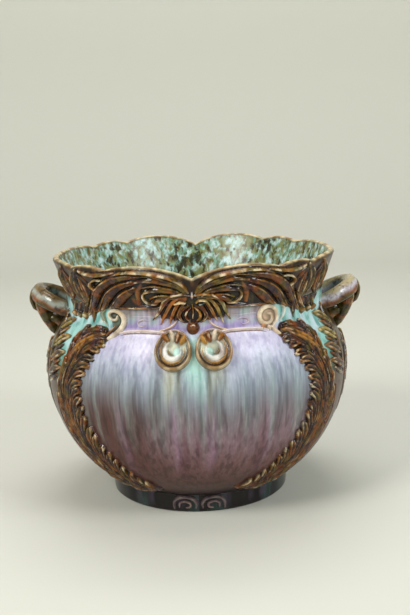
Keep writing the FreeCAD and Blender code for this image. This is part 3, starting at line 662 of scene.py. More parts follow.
def smooth_line(points, spacing):
    """Points along a smooth curve through the given ones, and each one's place as a point number."""
    points = np.asarray(points, float)
    padded = np.vstack([2 * points[0] - points[1], points, 2 * points[-1] - points[-2]])
    line, places = [], []
    for i in range(len(points) - 1):
        p0, p1, p2, p3 = padded[i:i + 4]
        count = max(3, int(np.hypot(*(p2 - p1)[:2]) / spacing) + 1)
        t = np.linspace(0, 1, count, endpoint=i == len(points) - 2)[:, None]
        line.append(0.5 * (2 * p1 + (p2 - p0) * t + (2 * p0 - 5 * p1 + 4 * p2 - p3) * t ** 2
                           + (3 * p1 - p0 - 3 * p2 + p3) * t ** 3))
        places.append(i + t[:, 0])
    return np.vstack(line), np.concatenate(places)


def blurred(grid, cells):
    """The grid seen out of focus, by a bell curve this many cells wide."""
    reach = max(1, int(3 * cells))
    kernel = np.exp(-0.5 * (np.arange(-reach, reach + 1) / max(cells, 0.01)) ** 2)
    kernel /= kernel.sum()
    for axis in (0, 1):
        pad = [(reach, reach) if a == axis else (0, 0) for a in range(grid.ndim)]
        wide = np.pad(grid, pad, mode="edge")
        grid = sum(k * np.take(wide, range(i, i + grid.shape[axis]), axis) for i, k in enumerate(kernel))
    return grid


class Clay:
    """A tile of clay on the wall, in azimuth degrees and millimetres of height."""

    def __init__(self, azimuths, heights, pitch=0.5):
        self.pitch = pitch
        self.middle = (azimuths[0] + azimuths[1]) / 2
        self.scale = math.radians(1) * float(wall_radius((heights[0] + heights[1]) / 2))
        across = int((azimuths[1] - azimuths[0]) * self.scale / pitch) + 1
        up = int((heights[1] - heights[0]) / pitch) + 1
        self.az, self.z = np.meshgrid(np.linspace(*azimuths, across), np.linspace(*heights, up))
        self.x = (self.az - self.middle) * self.scale
        self.h = np.full(self.x.shape, FLOOR_DEPTH)
        self.tone = np.tile(light(90, 50, 22), (*self.x.shape, 1))

    def flat(self, points):
        return [((a - self.middle) * self.scale, z) for a, z in points]

    def raise_to(self, area, height, tone):
        """Lift the clay to a height wherever that is higher, in the colour of this stroke."""
        higher = height > self.h[area]
        self.h[area] = np.where(higher, height, self.h[area])
        self.tone[area] = np.where(higher[..., None], light(*tone), self.tone[area])

    def window(self, points, margin):
        low, high = np.min(points, 0) - margin, np.max(points, 0) + margin
        columns = np.flatnonzero((self.x[0] >= low[0]) & (self.x[0] <= high[0]))
        rows = np.flatnonzero((self.z[:, 0] >= low[1]) & (self.z[:, 0] <= high[1]))
        if not len(columns) or not len(rows):
            return None
        return slice(rows[0], rows[-1] + 1), slice(columns[0], columns[-1] + 1)

    def stroke(self, points, width, height, tone, round_by=2.0, dish=0.0, groove=0.0):
        """A rounded ridge along a smooth line. Half width and height may change along it."""
        line, places = smooth_line(self.flat(points), self.pitch * 1.2)
        count = len(points)
        widths = np.interp(places, np.linspace(0, count - 1, np.size(width)), np.atleast_1d(width))
        heights = np.interp(places, np.linspace(0, count - 1, np.size(height)), np.atleast_1d(height))
        area = self.window(line, 1.6 * widths.max() + 1)
        if area is None:
            return
        x, z = self.x[area], self.z[area]
        best = np.full(x.shape, np.inf)
        nearest = np.zeros(x.shape, int)
        for i, (px, pz) in enumerate(line):
            distance = (x - px) ** 2 + (z - pz) ** 2
            closer = distance < best
            best = np.where(closer, distance, best)
            nearest = np.where(closer, i, nearest)
        off = np.sqrt(best) / widths[nearest]
        section = 1 - off ** round_by - groove * np.exp(-(off / GROOVE_HALF) ** 2)
        section -= dish * np.exp(-(off / DISH_HALF) ** 2)
        self.raise_to(area, np.maximum(heights[nearest] * section, FLOOR_DEPTH), tone)

    def carve(self, *strokes):
        """Strokes in turn, each a row of what stroke takes: line, widths, heights, tone and section."""
        for row in strokes:
            self.stroke(*row)

    def boss(self, point, radius, height, tone, round_by=2.0):
        """A round knob."""
        (px, pz), = self.flat([point])
        area = self.window(np.array([[px, pz]]), 1.6 * radius + 1)
        off = np.hypot(self.x[area] - px, self.z[area] - pz) / radius
        self.raise_to(area, np.maximum(height * (1 - off ** round_by), FLOOR_DEPTH), tone)

    def plate(self, outline, height, tone, bevel=1.2):
        """A low flat field inside a closed outline, with a sloping edge."""
        ring, _ = smooth_line(self.flat(list(outline) + [outline[0]]), 1.0)
        inside = np.zeros(self.x.shape, bool)
        best = np.full(self.x.shape, np.inf)
        for (ax, az), (bx, bz) in zip(ring, np.roll(ring, -1, 0)):
            crosses = (az > self.z) != (bz > self.z)
            with np.errstate(divide="ignore", invalid="ignore"):
                inside ^= crosses & (self.x < (bx - ax) * (self.z - az) / (bz - az) + ax)
            best = np.minimum(best, (self.x - ax) ** 2 + (self.z - az) ** 2)
        signed = np.where(inside, 1, -1) * np.sqrt(best)
        level = np.clip(signed / bevel, -1, 1) * height
        self.raise_to((slice(None), slice(None)), np.maximum(level, FLOOR_DEPTH), tone)

    def soften(self, millimetres):
        """Thick glaze rounds what the mould left sharp."""
        self.h = blurred(self.h, millimetres / self.pitch)
        self.tone = blurred(self.tone, 0.8 * millimetres / self.pitch)


print("clay tile tools ready")

# %% [markdown]
# Glaze breaks: it runs off every edge, where the pale body shows through as cream or honey, and pools
# dark brown in every hollow. The cream and honey on the edges also stand in for light: they are partly
# the break and partly painted highlights, the glints of the lamps along the ridges. How much a point
# stands above its surroundings says whether it is an edge or a hollow, and that is the grid less its own
# blurred copy. The tile then becomes a closed pad, its skirt sunk a little in the wall so that no gap
# shows, and is mirrored for the other quarters.

# %% Pressing a tile on the wall
POOL, HONEY, CREAM = light(14, 6, 2), light(164, 112, 46), light(238, 222, 184)
STAINS = [
    (51, 19, light(132, 66, 14), 0.65), (53, 15, light(92, 84, 32), 0.65),
    (55, 22, light(54, 42, 60), 0.6), (56, 8, light(22, 10, 4), 0.6),
]
BOTH_SIDES = {"front": (1, 1), "back": (1, -1)}
TWO_ENDS = {"right": (1, 1), "left": (-1, 1)}
QUARTERS = {
    "front_right": (1, 1), "front_left": (-1, 1), "back_right": (1, -1), "back_left": (-1, -1),
}


def broken(clay, azimuth, pool=1.0, edge=1.0, stain=1.0, ground=ground_colour):
    """The tile's colour once the glaze has run: stains, pale edges that are partly glaze break and partly
    painted highlight, dark hollows, the wall at its rim.
    """
    cells = 1 / clay.pitch
    stands = clay.h - blurred(clay.h, 1.5 * cells)
    across = azimuth * clay.scale
    colour = clay.tone
    for seed, length, tone, share in STAINS:
        colour = blend(colour, tone, stain * share * cloud(across, clay.z, seed, length, 0.2, 1.5))
    honey_break_sheen = cloud(across, clay.z, 57, 16, -0.8, 1.0)
    cream_break_glint = cloud(across, clay.z, 58, 10, -0.7, 1.3)
    # Honey and cream on the edges: partly the glaze break, partly painted highlights.
    colour = blend(colour, HONEY, 0.58 * edge * honey_break_sheen * ease(stands, 0.2, 0.8))
    colour = blend(colour, CREAM, 0.65 * edge * cream_break_glint * ease(stands, 0.55, 1.2))
    colour = blend(colour, POOL, 0.92 * pool * ease(-stands, -0.05, 0.6))
    return blend(ground(azimuth, clay.z), colour, ease(clay.h, -0.15, 0.55))


def press(name, clay, slot, copies=QUARTERS, soften=0.4, **how):
    """Close the tile into a pad and add it at every place that it is pressed."""
    clay.soften(soften)
    height = np.maximum(clay.h, SKIRT)
    wet = clay.h > SKIRT
    cell = wet[:-1, :-1] | wet[1:, :-1] | wet[:-1, 1:] | wet[1:, 1:]
    rows, columns = np.nonzero(cell)
    across = clay.x.shape[1]
    first = rows * across + columns
    quads = np.stack([first, first + 1, first + across + 1, first + across], 1)
    used, packed = np.unique(quads, return_inverse=True)
    top = packed.reshape(-1, 4)
    count = len(used)
    sides = np.concatenate([top[:, [i, (i + 1) % 4]] for i in range(4)])
    lookup = set(map(tuple, sides.tolist()))
    rim_edges = [(a, b) for a, b in lookup if (b, a) not in lookup]
    walls = [(b, a, a + count, b + count) for a, b in sorted(rim_edges)]
    faces = top.tolist() + (top[:, ::-1] + count).tolist() + walls
    flat_az, flat_z = clay.az.ravel()[used], clay.z.ravel()[used]
    front = on_wall(flat_az, flat_z, height.ravel()[used])
    back = on_wall(flat_az, flat_z, np.full(count, BACK))
    points = np.concatenate([front, back])
    for place, (side, depth) in copies.items():
        turned = clay.az if depth > 0 else 180 - clay.az
        colour = broken(clay, turned * side, **how).reshape(-1, 3)[used]
        moved, turned_faces = mirrored(points, faces, (side, depth, 1))
        paints = {"glaze": np.concatenate([colour, colour])}
        add_piece(f"{name}_{place}", moved, turned_faces, paints, slot)
    tall = round(float(clay.h.max()), 1)
    print(name, "pads:", len(copies), "faces each:", len(faces), "height", tall, "mm")


print("press ready")

# %% [markdown]
# The collar leaf is the long acanthus wing of the frieze. A rib follows the rim from the notch, a fan of
# flutes fills the corner under it, and three bands sweep over the shoulder of the wing and down to a
# tail, each with a fine rib along its upper edge. Each of those is a stroke on one tile. A row of a table
# gives its line, its half widths and its heights along that line, its tone and, where it isn't plainly
# round, how square, how dished and how grooved it is.

# %% Collar leaves
def between(first, second, share):
    """The line part of the way from one line to another that has as many points."""
    return (1 - share) * np.array(first) + share * np.array(second)


leaf = Clay((0.5, 54), (171, 224.5), 0.4)
leaf.plate([
    (1.5, 200), (3.5, 211), (9, 218), (17, 221), (26, 221), (33, 217), (38, 212.5), (42, 207), (45, 198),
    (47, 188), (47.5, 181), (44, 181), (40, 186), (34, 189), (24, 189.5), (16, 190.5), (11, 194),
    (6, 198),
], 1.0, (36, 17, 8))
ARCH = [(1.4, 203), (3.2, 209.8), (7.4, 216), (13, 219.4), (20, 220.8), (26.5, 219.6), (32, 216)]
FAN = [(2.2, 202.6), (5, 208.6), (9.8, 213), (15.4, 214.8), (21, 212.6)]
FAN_ROOT = [(4.8, 198), (7, 199.8), (10, 199.8), (12.8, 198), (15, 194.6)]
WING = [(22, 216), (27.6, 214.8), (32.4, 211.2), (36.8, 205.4), (40.2, 198.6), (43, 191), (45.6, 183.8),
        (48.8, 178.8)]
WING_ROOT = [(21, 205), (23, 203.2), (25, 200.6), (26.6, 197.8), (28, 195), (29.4, 192.6), (31, 190.6),
             (33, 189.4)]
leaf.stroke([(18.6, 211), (20.6, 203), (21.2, 194)], [1.8, 3.8, 2.2], [2.4, 3, 2.2], (136, 78, 22))
for share, tone in ((0.9, (98, 52, 17)), (0.45, (54, 26, 10)), (0, (76, 38, 14))):
    leaf.stroke(between(WING, WING_ROOT, share), [1.2, 3.2, 4.2, 4.6, 4.2, 3.4, 2.2, 0.8],
                [2.4, 3.8, 4.6, 4.8, 4.6, 4, 3.2, 1.8], tone, round_by=3)
    leaf.stroke(between(WING, WING_ROOT, share - 0.16), [0.5, 0.9, 1.0, 1.0, 1.0, 0.8, 0.6, 0.4],
                [2.6, 4.4, 5.4, 5.7, 5.4, 4.6, 3.4, 1.8], (138, 92, 36))
for share, tone in ((1, (64, 46, 24)), (0.5, (48, 28, 15)), (0, (94, 72, 31))):
    leaf.stroke(between(FAN, FAN_ROOT, share), [0.9, 2.3, 3.0, 2.9, 1.4], [2.8, 4, 4.8, 4.6, 3.2], tone,
                round_by=3)
    leaf.stroke(between(FAN, FAN_ROOT, share - 0.2), [0.5, 0.8, 0.9, 0.8, 0.5], [2.8, 4.4, 5.2, 4.8, 3.2],
                (140, 108, 48))
leaf.carve(
    ([(17.4, 206), (18.8, 200.4), (17, 195), (13.8, 194.4), (12.6, 197)], [0.9, 1.8, 1.9, 1.5, 0.9],
     [3, 4.8, 5, 4.4, 3.4], (104, 86, 50), 2, 0, 0.2),
    ([(6, 197.6), (8.4, 194.6), (12, 191.6)], [0.8, 1.9, 0.7], [2.4, 3.6, 2], (58, 38, 36), 2, 0.3),
    ([(14.6, 192.8), (18, 191.4), (22, 191)], [0.8, 1.6, 0.8], [2.2, 3, 2], (44, 42, 70)),
    (ARCH, [1.0, 1.4, 1.6, 1.6, 1.5, 1.2, 0.8], [3, 4.6, 5.2, 5.2, 4.8, 4, 2.6], (112, 88, 42)),
    ([(29, 219.8), (34, 217.6), (39, 216.4), (44, 217), (48, 218.4)], [0.7, 1.6, 1.9, 1.7, 0.8],
     [2.4, 4, 4.4, 4, 2.4], (78, 62, 32)),
    ([(35.6, 212.6), (38.4, 212.6), (41, 210.6), (42, 207.4), (40.6, 204.6), (38.6, 205.6)],
     [0.9, 1.3, 1.4, 1.4, 1.2, 0.8], [4.2, 5.2, 5.6, 5.6, 5.2, 4.6], (146, 118, 72)),
    ([(40.4, 202.6), (42.8, 195), (44.2, 187.4), (45, 180), (45.2, 173.6)], [1.2, 2.4, 2.8, 2.5, 0.8],
     [3.4, 4.8, 4.6, 3.8, 2], (66, 34, 13), 4, 0.5),
    ([(46.4, 197), (48.2, 190), (50.4, 184), (53, 180)], [1, 2.2, 1.9, 0.8], [3, 4, 3.4, 1.8],
     (78, 56, 26), 4, 0.5),
    ([(9.5, 193.6), (13, 190.9), (18.5, 189.8), (25, 189.2), (31, 189), (35.5, 187.6)],
     [0.6, 0.9, 1.0, 1.0, 0.9, 0.6], [2, 2.6, 2.8, 2.8, 2.6, 2], (132, 84, 38)),
)
press("collar_leaf", leaf, "relief_glaze")

# %% [markdown]
# In the middle of the frieze the two wings meet in a palmette: leaves that droop from a crown on either
# side, small pale curls under it, and a pair of petals that end over a bead. The carving is much the same
# on both sides and the glaze isn't, so some strokes are drawn for both sides at once and some for one.

# %% Palmette and bead
palmette = Clay((-16.5, 16.5), (173.5, 205), 0.34)


def both(points, *args, **how):
    palmette.stroke(points, *args, **how)
    palmette.stroke([(-a, z) for a, z in points], *args, **how)


half = [(0, 203.2), (4.2, 203), (8.2, 200.5), (11, 195), (12.6, 187), (12.6, 181), (10, 181), (6.5, 180),
        (3.5, 178)]
palmette.plate(half + [(0, 177)] + [(-a, z) for a, z in reversed(half[1:])], 1.2, (36, 16, 6))
DROOPS = [(15.4, 178.8), (12.6, 175.8), (9.6, 177.4), (7.2, 179.4)]
DROOP_TONES = {1: [(112, 104, 58), (142, 116, 52), (110, 66, 24), (86, 46, 17)],
               -1: [(110, 56, 22), (176, 102, 34), (158, 84, 26), (78, 38, 14)]}
chance = np.random.default_rng(17)
for way in (1, -1):
    for i, (tip_a, tip_z) in enumerate(DROOPS):
        out = 11.2 - 2.1 * i + chance.uniform(-0.4, 0.4)
        tip_a += chance.uniform(-0.6, 0.6)
        tip_z += chance.uniform(-1, 1.6)
        line = [(2.2, 200.8 - i), (0.72 * out, 200 - 2 * i), (out, 194 - 1.9 * i),
                (0.55 * out + 0.45 * tip_a, 186.5 - i), (tip_a, tip_z)]
        palmette.stroke([(way * a, z) for a, z in line], [0.9, 1.7, 2.0, 1.8, 0.5],
                        [3, 4.8, 5.2 + 0.1 * i, 4.4, 2], DROOP_TONES[way][i], round_by=3, dish=0.4)
both([(0.6, 200.6), (3.6, 202.8), (7.4, 202), (10.6, 198), (12.6, 192)], [0.6, 1.3, 1.5, 1.3, 0.5],
     [2.6, 4.8, 5.4, 5, 3], (96, 56, 30))
palmette.carve(
    # the cream patch on the left: partly glaze, partly a painted highlight
    ([(-6.8, 194.4), (-4.8, 196.2), (-2.6, 195.2)], [0.8, 1.5, 0.8], [5, 6, 4.8], (230, 200, 144)),
    ([(1.4, 195), (2.6, 197.6), (5, 197.2), (6.2, 194.4), (6.8, 191.4)], [0.6, 1.0, 1.1, 1.0, 0.5],
     [4.6, 5.6, 5.8, 5.2, 3.8], (176, 146, 78)),
    ([(2.7, 194), (4.4, 194.8)], [1.0, 0.8], [4.8, 4.4], (64, 134, 158)),
)
both([(1.2, 192.6), (3.8, 189.4), (5.2, 185), (4.6, 180.6), (3.2, 178)], [0.8, 1.7, 2.1, 1.5, 0.6],
     [3, 5, 5.4, 4.2, 2], (74, 36, 13), round_by=4, dish=0.5)
palmette.carve(
    ([(0.8, 191), (2.6, 187), (3, 182.4), (1.6, 179)], [0.6, 1.4, 1.6, 0.6], [3.4, 5.4, 5.2, 2.6],
     (176, 122, 46), 2, 0, 0.2),
    ([(-0.6, 190.6), (-2.4, 186.4), (-2.4, 182), (-1.0, 178.4)], [0.6, 1.4, 1.6, 0.6], [3.4, 5.2, 5, 2.6],
     (92, 40, 16), 2, 0, 0.2),
    ([(0, 194), (0.3, 188), (0, 181)], [0.5, 0.9, 0.5], [3, 5, 3.4], (50, 26, 11)),
    ([(0, 198.8), (0, 200.8), (0, 202.8)], [1.0, 1.7, 1.0], [2.2, 3.2, 2], (168, 160, 172)),
)
press("palmette", palmette, "relief_glaze", BOTH_SIDES, soften=0.3, stain=0.5)

bead = Clay((-4, 4), (165.5, 182.5), 0.3)
bead.boss((0, 173.6), 5.4, 5.4, (104, 54, 15), round_by=2.2)
# A small pale stroke near the bead's top is a painted highlight, a glint of a lamp.
bead.stroke([(-0.9, 175), (0.1, 175.6), (0.8, 175.2)], [0.6, 1.1, 0.6], [5.2, 5.8, 5.2], (232, 214, 178))
bead.stroke([(-1.6, 178.4), (0, 176.8), (1.6, 178.4)], [0.6, 1.0, 0.6], [4, 5.6, 4], (64, 32, 12))
press("bead_drop", bead, "relief_glaze", BOTH_SIDES, soften=0.3, edge=0.2, stain=0.3, pool=0.5)

# %% [markdown]
# Beside the handles the frieze ends in two arched petals, each of two dished lobes and a fine rib, and a
# row of small drops hangs under them. The petals share one function, because they differ only in place
# and width.

# %% Petals and drops
def petal_tile(middle, half_width):
    a, w = middle, half_width
    tile = Clay((a - w - 1.6, a + w + 1.6), (187.5, 223), 0.42)
    tile.plate([(a, 190), (a + 0.9 * w, 198), (a + 0.95 * w, 209), (a, 217), (a - 0.95 * w, 209),
                (a - 0.9 * w, 198)], 1.2, (42, 21, 10))
    tile.stroke([(a + 0.1 * w, 190), (a + 0.5 * w, 199), (a + 0.45 * w, 209.5), (a - 0.05 * w, 218.6)],
                [1.2, 4.6, 5.2, 1.4], [2.4, 4.2, 4.8, 3], (92, 76, 38), round_by=5, dish=0.6)
    tile.stroke([(a - 0.1 * w, 190), (a - 0.5 * w, 197), (a - 0.5 * w, 205), (a - 0.2 * w, 212)],
                [1.0, 3.2, 3.4, 1.0], [2.4, 4, 4.4, 2.8], (104, 60, 24), round_by=5, dish=0.6)
    tile.stroke([(a - 0.1 * w, 191), (a - 0.1 * w, 199), (a + 0.15 * w, 206.5)], [0.6, 1.3, 0.6],
                [3, 4.4, 3], (140, 108, 56))
    return tile


press("petal_inner", petal_tile(50.5, 6.2), "relief_glaze")
press("petal_outer", petal_tile(62.5, 6.0), "relief_glaze")

drops = Clay((47.5, 66.5), (170.5, 190), 0.38)
drops.plate([(48.4, 189), (48.4, 182), (51, 180), (60.4, 180), (63.6, 182.6), (65.6, 189)], 1.2,
            (40, 22, 10))
for i, tone in enumerate(((124, 98, 40), (96, 74, 32), (128, 88, 36))):
    a = 51 + 4.6 * i
    drops.stroke([(a - 1.4, 188.6), (a - 0.8, 184.6), (a - 0.2, 181)], [1.0, 1.9, 1.4], [2.4, 3.4, 3],
                 (74, 44, 18))
    drops.boss((a, 178), 3.7, 4.6, tone, round_by=2.2)
press("collar_drops", drops, "relief_glaze")

# %% [markdown]
# Two round volutes hang at the head of the panel. Each is a disc with a rounded rim, a dark hollow and a
# golden band inside that, then a white crescent round a mint boss, both partly glaze and partly a painted
# reflection of the light in the dish, an olive stroke of painted shade beside the boss, and four lobes
# folded in over the top.
# Rings and crescents are strokes along points that turn round a centre.

# %% Volutes
def around(centre, radius, turn):
    """A point by its distance from a centre and its angle, 0 towards the handle and 90 up."""
    turn = math.radians(turn)
    degree = math.radians(1) * float(wall_radius(centre[1]))
    return centre[0] + radius * math.cos(turn) / degree, centre[1] + radius * math.sin(turn)


VOLUTE = (7.35, 156.5)


def arc(radius, first, last, count=9, centre=VOLUTE):
    return [around(centre, radius, turn) for turn in np.linspace(first, last, count)]


def ray(*places, centre=VOLUTE):
    return [around(centre, radius, turn) for radius, turn in places]


volute = Clay((-0.3, 15.2), (140, 173.5), 0.32)
volute.boss(VOLUTE, 15.2, 2.4, (214, 218, 196), round_by=8)
volute.carve(
    (arc(13.6, 74, -254, 14), [1.2, 1.7, 1.9, 2.0, 1.9, 1.7, 1.2], [4, 5, 5.4, 5.5, 5.4, 5, 4.4],
     (146, 122, 86), 2.4),
    (arc(11.4, 56, -200, 12), [0.6, 1.3, 1.5, 1.5, 1.2, 0.6], [2.6, 3.2, 3.4, 3.4, 3.2, 2.6],
     (70, 40, 16)),
    (arc(9.5, 44, -190, 12), [0.6, 1.1, 1.3, 1.3, 1.0, 0.5], [3.4, 4.4, 4.6, 4.6, 4.2, 3.4],
     (178, 132, 72)),
    # the white crescent: partly glaze, partly a painted reflection in the dish
    (arc(6.4, 60, -196), [0.8, 2.4, 2.9, 3.0, 2.6, 1.0], [3.2, 4.3, 4.7, 4.7, 4.3, 3], (240, 240, 234),
     2.6),
)
# The mint boss is partly glaze and partly a painted reflection in the dish.
volute.boss(around(VOLUTE, 4.4, 205), 4.8, 4.3, (196, 232, 222), round_by=3)
# An olive stroke of painted shade inside the dish.
volute.stroke(arc(3.4, 10, -100, 6), [0.5, 1.2, 1.2, 0.5], [3.9, 4.5, 4.5, 3.9], (112, 104, 62))
for turn, reach, tone in ((134, 8.2, (186, 136, 60)), (108, 6.8, (112, 58, 22)),
                          (80, 7.4, (228, 212, 190)), (50, 8, (140, 84, 34))):
    volute.stroke(ray((13.8, turn), (0.5 * (13.8 + reach), turn + 4), (reach, turn + 8)), [2.2, 3.2, 2.2],
                  [4.8, 6, 5], tone, round_by=2.2)
volute.stroke(arc(15, 146, 42, 7), [0.7, 1.2, 1.4, 1.2, 0.7], [3.4, 4.8, 5, 4.8, 3.4], (198, 180, 184))
press("volute", volute, "scroll_glaze", soften=0.28, stain=0.45, pool=0.4, edge=0.5)

# %% [markdown]
# At the panel's upper corner a stem curls over like a fern. The curl on one side is open and the one on
# the other is wound into a rosette, so there are two tiles. From it a thin cord runs along the head of
# the panel to the volute.

# %% Shoulder scrolls and panel cords
hook = Clay((26, 41.5), (161, 190.5), 0.32)
hook.plate([(29.5, 172), (29, 180), (31, 185), (34, 185), (35.8, 181), (35, 176), (33.5, 168), (33, 165)],
           0.9, (104, 120, 104))
hook.carve(
    ([(34.6, 163), (32, 166.4), (29.8, 171), (28.6, 176), (28.8, 181), (30.6, 185), (33.2, 186.2),
      (35.4, 184.2), (35.8, 180.6), (34.2, 177.8), (32.2, 178.6), (31.8, 181.2)],
     [1.4, 2.1, 2.5, 2.5, 2.3, 2.1, 1.9, 1.7, 1.5, 1.4, 1.3, 0.9],
     [2.4, 3.4, 4, 4.4, 4.8, 4.8, 4.6, 4.4, 4.2, 4, 3.8, 3.2], (236, 224, 204), 3, 0.3),
    ([(35.8, 164.8), (34.2, 168.6), (32.6, 172.6)], [0.9, 1.5, 0.7], [2.2, 3.2, 2.2], (120, 74, 40)),
    ([(38, 187), (39.8, 182.6), (39, 177.4), (36.8, 172.6)], [0.9, 2.4, 2.2, 0.8], [2.4, 4, 3.6, 2],
     (130, 160, 146), 4, 0.6),
)
hooks = {place: QUARTERS[place] for place in ("front_left", "back_right")}
press("shoulder_scroll", hook, "scroll_glaze", hooks, soften=0.28, stain=0.35, pool=0.8, edge=0.7)

rosette = Clay((26, 41.5), (161, 190.5), 0.32)
ROSE_MIDDLE = (31.0, 178.4)
rosette.boss(ROSE_MIDDLE, 10, 2.0, (206, 178, 150), round_by=6)
CURL = ray((9.6, -66), (9.2, -20), (8.9, 30), (8.6, 80), (8.3, 130), (7.8, 180), (7, 226), (5.8, 272),
           (4.6, 320), (3.4, 20), (2.2, 90), centre=ROSE_MIDDLE)
rosette.stroke(CURL, [1.0, 1.8, 2.1, 2.1, 2.0, 1.9, 1.8, 1.7, 1.6, 1.5, 1.1],
               [2.8, 4, 4.5, 4.6, 4.6, 4.5, 4.4, 4.3, 4.3, 4.2, 3.8], (238, 220, 194), round_by=3,
               dish=0.25)
for turn, tone in ((-128, (196, 132, 92)), (-96, (232, 206, 192))):
    rosette.stroke(ray((7.6, turn), (9.4, turn + 4), (11.2, turn + 8), centre=ROSE_MIDDLE),
                   [1.0, 1.9, 0.9], [3, 3.8, 2.4], tone)
rosette.stroke([around(ROSE_MIDDLE, 8.6, -84), (32.4, 168.4), (34.4, 164), (36, 162)],
               [1.6, 2.0, 1.6, 0.6], [3, 3.6, 3, 1.6], (208, 186, 160), groove=0.3)
rosette.stroke([(38, 187), (39.8, 182.6), (39, 177.4), (36.8, 172.6)], [0.8, 2.0, 1.9, 0.7],
               [2.2, 3.4, 3.2, 1.8], (204, 228, 230), groove=0.3)
roses = {place: QUARTERS[place] for place in ("front_right", "back_left")}
press("shoulder_scroll", rosette, "scroll_glaze", roses, soften=0.28, stain=0.35, pool=0.6, edge=0.7)

cord = Clay((5, 32), (162, 183), 0.34)
cord.carve(
    ([(30.5, 167.4), (27, 169.4), (21, 170.5), (15, 170.6), (11.5, 169.6)], [0.8, 1.1, 1.2, 1.2, 0.9],
     [1.6, 2.2, 2.2, 2.2, 1.8], (232, 218, 218)),
    ([(29.5, 166), (26.5, 167.7), (21, 168.7), (15, 168.8), (11.5, 167.9)], [0.4, 0.5, 0.5, 0.5, 0.4],
     [0.8, 1.2, 1.2, 1.2, 0.8], (120, 88, 72)),
    ([(13.5, 170.8), (10.4, 172.6), (8, 175.4), (6.2, 179.4)], [0.9, 1.1, 1.0, 0.5], [1.8, 2.4, 2.4, 1.4],
     (222, 196, 176)),
    ([(17.6, 178.4), (20, 179.6), (22.2, 177.8), (22, 174.8), (20, 174.2), (19.2, 176)],
     [0.4, 0.7, 0.8, 0.7, 0.6, 0.4], [1, 1.6, 1.8, 1.6, 1.4, 1], (184, 172, 196)),
)
press("panel_cord", cord, "scroll_glaze", soften=0.28, edge=0.5, stain=0, pool=0.6)

# %% [markdown]
# A garland frames the panel. It is a band that bows out from under the shoulder scroll and runs down to
# the foot, and places on it are given by the distance down it and the share of its half width across it.
# Rows of leaves lie along it, each curling out to a tip where the glaze runs thin. Chance sways,
# stretches and fattens every leaf a little, so that they sit as irregularly as a mould-maker would carve
# them.

# %% Garlands
BAND = [
    (35.2, 167), (39.6, 162.5), (43.6, 157), (46.6, 148), (48.8, 136), (50.8, 124), (51.6, 111),
    (50.8, 97), (48.8, 81), (46.6, 69), (43.8, 57.5), (40, 46.5), (35, 37), (28, 30.5), (18.5, 26.6),
]
BAND_HALF = [5, 9, 12.5, 14, 14, 15.5, 16.5, 16.5, 15.5, 14.5, 13.5, 12, 9.5, 6.5, 2.5]


def to_mm(points):
    """Band points with their azimuth opened out into millimetres, for measuring along and across."""
    return np.array([(a * math.radians(1) * float(wall_radius(z)), z) for a, z in points])


band_line, band_places = smooth_line(to_mm(BAND), 1.0)
band_run = np.concatenate([[0], np.cumsum(np.hypot(*np.diff(band_line, axis=0).T))])
band_halves = np.interp(band_places, range(len(BAND)), BAND_HALF)
band_ahead = np.gradient(band_line, axis=0)
band_ahead /= np.hypot(*band_ahead.T)[:, None]
BAND_LENGTH = band_run[-1]


def on_band(run, across):
    """Azimuth and height at a distance down the band and a share across it, 1 at the panel's edge."""
    x, z = (np.interp(run, band_run, band_line[:, i]) for i in (0, 1))
    ax, az = (np.interp(run, band_run, band_ahead[:, i]) for i in (0, 1))
    out = np.interp(run, band_run, band_halves) * across
    x, z = x + az * out, z - ax * out
    return x / (math.radians(1) * float(wall_radius(np.clip(z, FOOT_Z + 0.5, RIM_Z)))), z


garland = Clay((13, 68), (19.5, 172), 0.46)
edge_runs = np.linspace(0, BAND_LENGTH, 26)
garland.plate([on_band(r, 0.9) for r in edge_runs] + [on_band(r, -0.95) for r in edge_runs[::-1]], 0.9,
              (34, 15, 7))
BROWNS = [(84, 45, 16), (52, 26, 11), (118, 74, 27), (62, 31, 12), (98, 58, 20)]
# Each row of leaves: across at root, middle and tip, then length, spacing and half width
LEAF_ROWS = [
    (-0.7, -0.8, -0.86, 40, 27, 2.6), (-0.45, -0.5, -0.42, 44, 30, 2.8),
    (-0.2, -0.12, -0.02, 40, 24, 2.8), (-0.5, -0.8, -1.06, 20, 18, 3.2), (0.0, 0.24, 0.44, 32, 19, 2.8),
    (0.18, 0.66, 1.02, 19, 11.5, 3.6),
]
chance = np.random.default_rng(7)
for root, middle, tip, length, spacing, wide in LEAF_ROWS:
    run = 7.0
    while run < BAND_LENGTH - 15:
        size = 0.55 + 0.45 * float(np.interp(run, band_run, band_halves)) / max(BAND_HALF)
        sway, stretch, fat = chance.uniform((-0.07, 0.9, 0.85), (0.07, 1.15, 1.15))
        reach = min(length * size * stretch, BAND_LENGTH - run - 2)
        tall = chance.uniform(4.4, 5.4)
        tone = BROWNS[chance.integers(len(BROWNS))]
        path = [on_band(run + reach, root + sway),
                on_band(run + 0.62 * reach, 0.5 * (root + middle) + sway),
                on_band(run + 0.3 * reach, middle + sway),
                on_band(run + 0.02 * reach, 0.15 * middle + 0.85 * tip + sway),
                on_band(run - 0.08 * reach, tip + sway)]
        widths = [0.9, 0.8 * wide * fat * size, wide * fat * size, 0.85 * wide * fat * size, 0.7]
        heights = [2.2, 3.6, tall, tall, tall - 1.4]
        garland.stroke(path, widths, heights, tone, round_by=5, dish=0.6)
        run += spacing * size * chance.uniform(0.85, 1.2)
